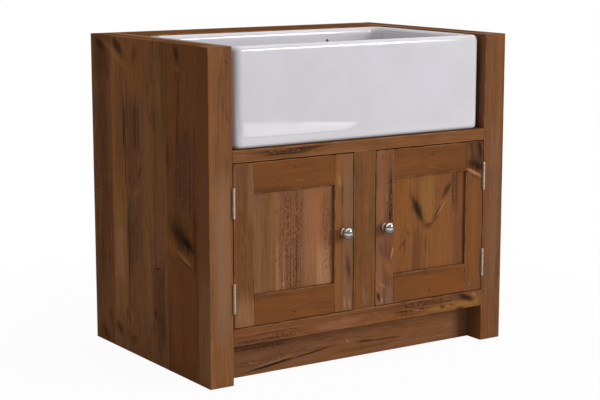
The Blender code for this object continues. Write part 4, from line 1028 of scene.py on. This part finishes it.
def makeHinge(side, level):
    sign = -1 if side == "left" else 1
    axis = hingeSpots[side + "_door"]
    name = side + level.title()
    low, high = (float(corner[2]) for corner in spread(f"{side}_{level}_frame_leaf"))
    height = (high - low - (hinge["knuckles"] - 1) * fit) / hinge["knuckles"]
    leaves = (("frame", sign, "carcass", (0, 2, 4)), ("door", -sign, side + "_door", (1, 3)))
    for kind, into, body, picked in leaves:
        near = axis[0] + into * hinge["near"]
        far = axis[0] + into * (hinge["near"] + hinge["thick"])
        leafLow = (min(near, far), frontY, low)
        leafHigh = (max(near, far), frontY + hinge["depth"], high)
        shells = [plankShell(leafLow, leafHigh, "z", 5, edge=hinge["ease"], end=hinge["ease"], **machined)]
        for count in picked:
            bottom = low + count * (height + fit)
            shells.append(knuckleShell(axis, into, bottom, bottom + height))
        for share, inward in hinge["screwSpots"]:
            spot = (near, frontY + inward, low + share * (high - low))
            shells.append(screwShell(spot, "-x" if into > 0 else "x", hinge["screw"], dome=0.03, sunk=0.0008))
        node = f"{side}_{level}_{kind}_leaf"
        newPiece(f"{name}{kind.title()}Leaf", shells, [hingeSteel], body, "hinge_steel", [node])
    turn = np.linspace(0, np.pi / 2, 9)[:-1]
    button = stacked(hinge["barrel"] * 0.94 * np.cos(turn), hinge["pinHead"] * np.sin(turn))
    button = [(hinge["barrel"] * 0.9, -0.0002), *button]
    ends = ((high + fit, "z"), (low - fit, "-z"))
    heads = [turnedShell(button, (*axis[:2], end), way, 32) for end, way in ends]
    newPiece(f"{name}HingePin", heads, [hingeSteel], "carcass", "hinge_steel", [f"{side}_{level}_hinge_pin"])


for side in sides:
    for level in ("upper", "lower"):
        makeHinge(side, level)
print("hinges done")


# Magnetic catches: a case with two pole strips, and a steel plate on the door
catch = {"trim": {"edge": 0.0018, "end": 0.0022}, "setBack": 0.0010, "strips": (0.30, 0.70),
         "stripTrim": {"edge": 0.0002, "end": 0.0002}, "stripInset": 0.006, "stripDepth": 0.004,
         "stripHalf": 0.0011, "screws": (0.11, 0.89), "screw": 0.0026, "sunk": 0.0004,
         "plateTrim": {"edge": 0.0004, "end": 0.0006}, "plateScrews": (0.2, 0.8), "plateScrew": 0.0024}


def makeCatch(side):
    box = spread(side + "_catch")
    low, high = box
    front = low + (0, catch["setBack"], 0)
    shells = [plankShell(front, high, "x", 3, **catch["trim"], **machined)]
    inset, half = catch["stripInset"], catch["stripHalf"]
    for share in catch["strips"]:
        level = part(box, share)[2]
        stripLow = (low[0] + inset, low[1], level - half)
        stripHigh = (high[0] - inset, low[1] + catch["stripDepth"], level + half)
        shells.append(plankShell(stripLow, stripHigh, "x", 4, finish=1, **catch["stripTrim"], **machined))
    for share in catch["screws"]:
        spot = part(box, (share, 0.5, 0)) + (0, 0, catch["sunk"])
        shells.append(screwShell(spot, "-z", catch["screw"], 1, dome=0.12))
    newPiece(side + "Catch", shells, [plastic, brightSteel], "carcass", "white_plastic", [side + "_catch"])
    box = spread(side + "_catch_plate")
    shells = [plankShell(*box, "x", 6, **catch["plateTrim"], **machined)]
    for share in catch["plateScrews"]:
        spot = part(box, (share, 1, 0.5))
        shells.append(screwShell(spot, "y", catch["plateScrew"], dome=0.03, sunk=0.0008))
    newPiece(side + "CatchPlate", shells, [brightSteel], side + "_door", "bright_steel",
             [side + "_catch_plate"])


for side in sides:
    makeCatch(side)
print("catches done")

# Screws through the bearers that carry the sink and the cleats under the rear top board
bearerScrew = {"radius": 0.0042, "spots": (0.12, 0.5, 0.88), "rearSpots": (0.06, 0.35, 0.65, 0.94)}


def makeBearerScrews():
    spots = []
    for side, axis, inner in (("left", "x", 1), ("right", "-x", 0)):
        for node in ("_sink_bearer", "_ledge_cleat"):
            box = spread(side + node)
            spots += [(part(box, (inner, share, 0.5)), axis) for share in bearerScrew["spots"]]
    box = spread("rear_sink_bearer")
    spots += [(part(box, (share, 0, 0.5)), "-y") for share in bearerScrew["rearSpots"]]
    radius = bearerScrew["radius"]
    shells = [screwShell(spot, axis, radius, dome=0.05, sunk=0.002) for spot, axis in spots]
    newPiece("bearerScrews", shells, [brightSteel], "carcass", "bright_steel")


makeBearerScrews()
print("bearer screws done")

# Waste: flanged cup, seal, ribbed nut, threaded tail and lift-out basket
waste = {"cup": 0.042, "cupWall": 0.002, "outlet": 0.018, "pipe": 0.020, "collar": 0.027,
         "collarHeight": 0.014, "thread": 0.0008, "ridges": 33, "ring": 0.0423, "ribs": (24, 0.02),
         "basketWall": 0.0012, "basketSlope": 0.010, "basketDrop": 0.0103, "stem": 0.004, "grip": 0.009,
         "gripHeight": 0.005, "hub": 0.0106}
cupTop = float(spread("waste_cup")[1][2])
wasteSpot = part(spread("waste_cup"), (0.5, 0.5, 0)) * (1, 1, 0)


def turnedBox(node):
    # a turned part's outer radius, its foot and its top
    low, high = spread(node)
    return float(high[0] - low[0]) / 2, float(low[2]), float(high[2])


def wastePiece(name, node, profile, steps, finish, slot, **more):
    shell = turnedShell(profile, wasteSpot, "z", steps, closed=True, **more)
    newPiece(name, [shell], [finish], "carcass", slot, [node])


def washer(inner, outer, lower, upper, ease):
    return [(inner, lower), (inner, upper), (outer - ease, upper), (outer, upper - ease),
            (outer, lower + ease), (outer - ease, lower)]


def makeWaste():
    cup, outlet, pipe, collar = (waste[key] for key in ("cup", "outlet", "pipe", "collar"))
    inner = cup - waste["cupWall"]
    flange, foot, top = turnedBox("waste_cup")
    throat, crown = (inner, top - 0.0030), (inner + 0.010, top - 0.0004)
    brim, edge = (flange - 0.002, top - 0.0003), (flange, top - 0.0024)
    profile = [*bow(throat, crown, (inner + 0.0015, top - 0.0009), 10),
               *bow(crown, brim, (inner + 0.013, top), 6)[1:],
               *bow(brim, edge, (flange, top - 0.0004), 6)[1:],
               (flange, top - 0.0032), (cup, top - 0.0033), (cup, foot + 0.001), (cup - 0.001, foot),
               (outlet, foot), (outlet, foot + 0.0018), (inner - 0.004, foot + 0.0022), (inner, foot + 0.006)]
    wastePiece("wasteCup", "waste_cup", profile, 96, brightSteel, "bright_steel")
    seal = washer(waste["ring"], *turnedBox("waste_seal"), 0.001)
    wastePiece("wasteSeal", "waste_seal", seal, 72, rubber, "rubber")
    outer, lower, upper = turnedBox("waste_back_nut")
    nut = washer(waste["ring"] / 1.02, outer * 0.975, lower, upper, 0.0012)
    wastePiece("wasteNut", "waste_back_nut", nut, 144, plastic, "white_plastic", lobes=waste["ribs"])
    outer, lower, upper = turnedBox("waste_tail")
    ridges = waste["ridges"]
    crests = pipe - waste["thread"] * (np.arange(ridges) % 2)
    thread = stacked(crests, np.linspace(lower + 0.004, lower + 0.028, ridges))
    shelf = upper - waste["collarHeight"]
    tail = [(outlet, upper), (outlet, lower), (pipe - 0.0006, lower), (pipe - 0.0002, lower + 0.003), *thread,
            (pipe, lower + 0.031), (pipe, shelf), (collar - 0.001, shelf), (collar, shelf + 0.001),
            (collar, upper - 0.001), (collar - 0.001, upper)]
    wastePiece("wasteTail", "waste_tail", tail, 72, plastic, "white_plastic")


def perforatedShell(inner, outer, bottom, top, count, hole):
    # a flat ring in equal sectors; each is a square loop of points drawn in to a round hole, then through it
    side = np.linspace(-1, 1, 7)
    loopU = np.concatenate([side[:-1], np.ones(6), side[:0:-1], -np.ones(6)])
    loopV = np.concatenate([-np.ones(6), side[:-1], np.ones(6), side[:0:-1]])
    middle, reach = (inner + outer) / 2, (outer - inner) / 2
    sector = np.arange(count)[:, None] * 2 * np.pi / count
    angle = sector + loopU[None] * np.pi / count
    radius = np.broadcast_to(middle + reach * loopV[None], angle.shape)
    turn = np.arctan2(loopV, loopU)
    holeX = middle + hole * np.sin(turn)
    holeY = hole * np.cos(turn)
    square = stacked(radius * np.cos(angle), radius * np.sin(angle))
    circle = stacked(holeX[None] * np.cos(sector) - holeY[None] * np.sin(sector),
                     holeX[None] * np.sin(sector) + holeY[None] * np.cos(sector))
    shells = []
    for k in range(count):
        rows = [(square[k], bottom), (circle[k], bottom), (circle[k], top), (square[k], top)]
        points = np.stack([stacked(*flat.T, z) for flat, z in rows])
        shells.append(ringShell(points + wasteSpot, wrapRows=True))
    return shells


def makeBasket():
    out, bottom, top = turnedBox("strainer_basket")
    wall, stem, grip, hub = (waste[key] for key in ("basketWall", "stem", "grip", "hub"))
    foot = out - waste["basketSlope"]
    rim = cupTop - waste["basketDrop"]
    floor, under = bottom + wall, top - waste["gripHeight"]
    lip = (out - 0.0006, rim - 0.001)
    profile = [(foot, bottom), *bow((foot, bottom), lip, (foot + 0.006, bottom + 0.004), 12),
               *bow(lip, (out - wall, rim - 0.0004), (out - 0.0002, rim + 0.0006), 6)[1:],
               *bow((out - wall - 0.0002, rim - 0.001), (foot - wall, floor),
                    (foot + 0.005, bottom + 0.005), 12)]
    shells = [turnedShell(profile, wasteSpot, "z", 80, closed=True)]
    shells += perforatedShell(0.0185, foot - 0.0002, bottom, floor, 24, 0.0019)
    shells += perforatedShell(0.0105, 0.0186, bottom, floor, 16, 0.0018)
    handle = [(hub, bottom), (hub, floor), (stem + 0.001, floor), (stem, floor + 0.001),
              (stem, under - 0.002), (grip - 0.001, under), (grip, under + 0.001), (grip, top - 0.0016),
              (grip - 0.001, top - 0.0004), (grip * 0.6, top), (0.0005, top - 0.0006)]
    shells.append(turnedShell(handle, wasteSpot, "z", 48))
    newPiece("strainerBasket", shells, [brightSteel], "basket", "bright_steel", ["strainer_basket"],
             sharp=35)


makeWaste()
makeBasket()
print("waste done")

# Floor and background
stage = {"floor": (0.8, 0.8, 0.8, 1), "ambient": (0.40, 0.40, 0.408, 1), "white": (1, 1, 1, 1),
         "whiten": 0.95, "half": 4.0, "near": 0.7, "far": 1.7}


def rayShare(tree):
    # 1 for rays that show the background: seen directly, in a gloss or through glass
    path = put(tree, "ShaderNodeLightPath")
    both = path["Is Camera Ray"].work("MAXIMUM", path["Is Glossy Ray"])
    return both.work("MAXIMUM", path["Is Transmission Ray"])


def makeStage():
    half = stage["half"]
    mesh = bpy.data.meshes.new("studioFloor")
    corners = [(-half, -half, 0), (half, -half, 0), (half, half, 0), (-half, half, 0)]
    mesh.from_pydata(corners, [], [(0, 1, 2, 3)])
    floor = addObject("studioFloor", mesh)
    made, tree, shader = newFinish("paleFloor")
    feed(shader, {"Base Color": stage["floor"], "Roughness": 0.7, "Specular IOR Level": 0.1})
    glow = put(tree, "ShaderNodeEmission", {"Color": stage["white"], "Strength": 1.0})[0]
    away = put(tree, "ShaderNodeVectorMath", {0: objectSpace(tree)}, operation="LENGTH")[1]
    share = rayShare(tree) * eased(away, stage["near"], stage["far"], stage["whiten"], 1.0)
    mixed = put(tree, "ShaderNodeMixShader", {0: share, 1: Wire(shader.outputs[0]), 2: glow})[0]
    feed(tree.nodes["Material Output"], {"Surface": mixed})
    mesh.materials.append(made)
    world = bpy.data.worlds.new("studio")
    scene.world = world
    world.use_nodes = True
    back = blended(rayShare(world.node_tree), stage["ambient"], stage["white"])
    feed(world.node_tree.nodes["Background"], {"Color": back, "Strength": 1.0})


def flatCorners(height, *spots):
    return [(*spot, height) for spot in spots]


# Studio cards that only gloss shows, each with a level and corners: dark walls, a pale ceiling, a dim floor
# near the unit, a bright card and its softer end for the line along the sink's rim, pale strips on the floor
cards = {
    "frontCard": (0.2, [(-6, -5.24, 0), (5.6, -5.24, 0), (5.6, -5.24, 2.6), (-6, -5.24, 2.6)]),
    "highCard": (0.2, [(-6, -5.24, 2.6), (5.6, -5.24, 2.6), (5.6, -2.6, 4.4), (-6, -2.6, 4.4)]),
    "rightCard": (0.12, [(5.8, -5.2, 0), (5.8, 5.5, 0), (5.8, 5.5, 4.0), (5.8, -5.2, 4.0)]),
    "sideCard": (0.15, [(-6, -5.2, 0), (-6, 5.5, 0), (-6, 5.5, 4.0), (-6, -5.2, 4.0)]),
    "rearCard": (0.35, [(-9, 5.5, 0), (9, 5.5, 0), (9, 5.5, 4.0), (-9, 5.5, 4.0)]),
    "ceilingCard": (1.3, flatCorners(4.0, (-6, -2.6), (9, -2.6), (9, 5.5), (-6, 5.5))),
    "nearCard": (0.25, flatCorners(0.002, (-1.6, -0.95), (1.0, -0.95), (1.0, -0.24), (-1.6, -0.24))),
    "duskCard": (0.15, flatCorners(0.002, (1, -0.95), (3.2, -3.1), (5.6, -3.1), (5.6, -0.24), (1, -0.24))),
    "rimCard": (12, [(2.08, -4.99, 2.47), (3.40, -4.04, 2.47), (3.30, -3.37, 3.73), (1.73, -4.50, 3.73)]),
    "rimEnd": (4.5, [(3.40, -4.04, 2.47), (3.58, -3.91, 2.47), (3.46, -3.25, 3.73), (3.30, -3.37, 3.73)]),
    "farCard": (0.2, flatCorners(0.002, (1.2, -5.24), (5.6, -5.24), (5.6, -3.2), (1.2, -3.2))),
    "paleStrip": (2.2, flatCorners(0.004, (2.13, -4.43), (2.47, -4.98), (3.06, -4.60), (2.62, -4.15))),
    "whiteStrip": (3.4, flatCorners(0.006, (2.72, -4.66), (2.81, -4.77), (3.08, -4.60), (2.96, -4.48))),
}


def makeCards():
    for name, (level, corners) in cards.items():
        mesh = bpy.data.meshes.new(name)
        mesh.from_pydata(corners, [], [range(len(corners))])
        made, tree = newFinish(name)[:2]
        glow = put(tree, "ShaderNodeEmission", {"Strength": level})[0]
        feed(tree.nodes["Material Output"], {"Surface": glow})
        mesh.materials.append(made)
        board = addObject(name, mesh)
        board.visible_camera = False
        board.visible_diffuse = False
        board.visible_shadow = False


makeStage()
makeCards()
print("scene done")
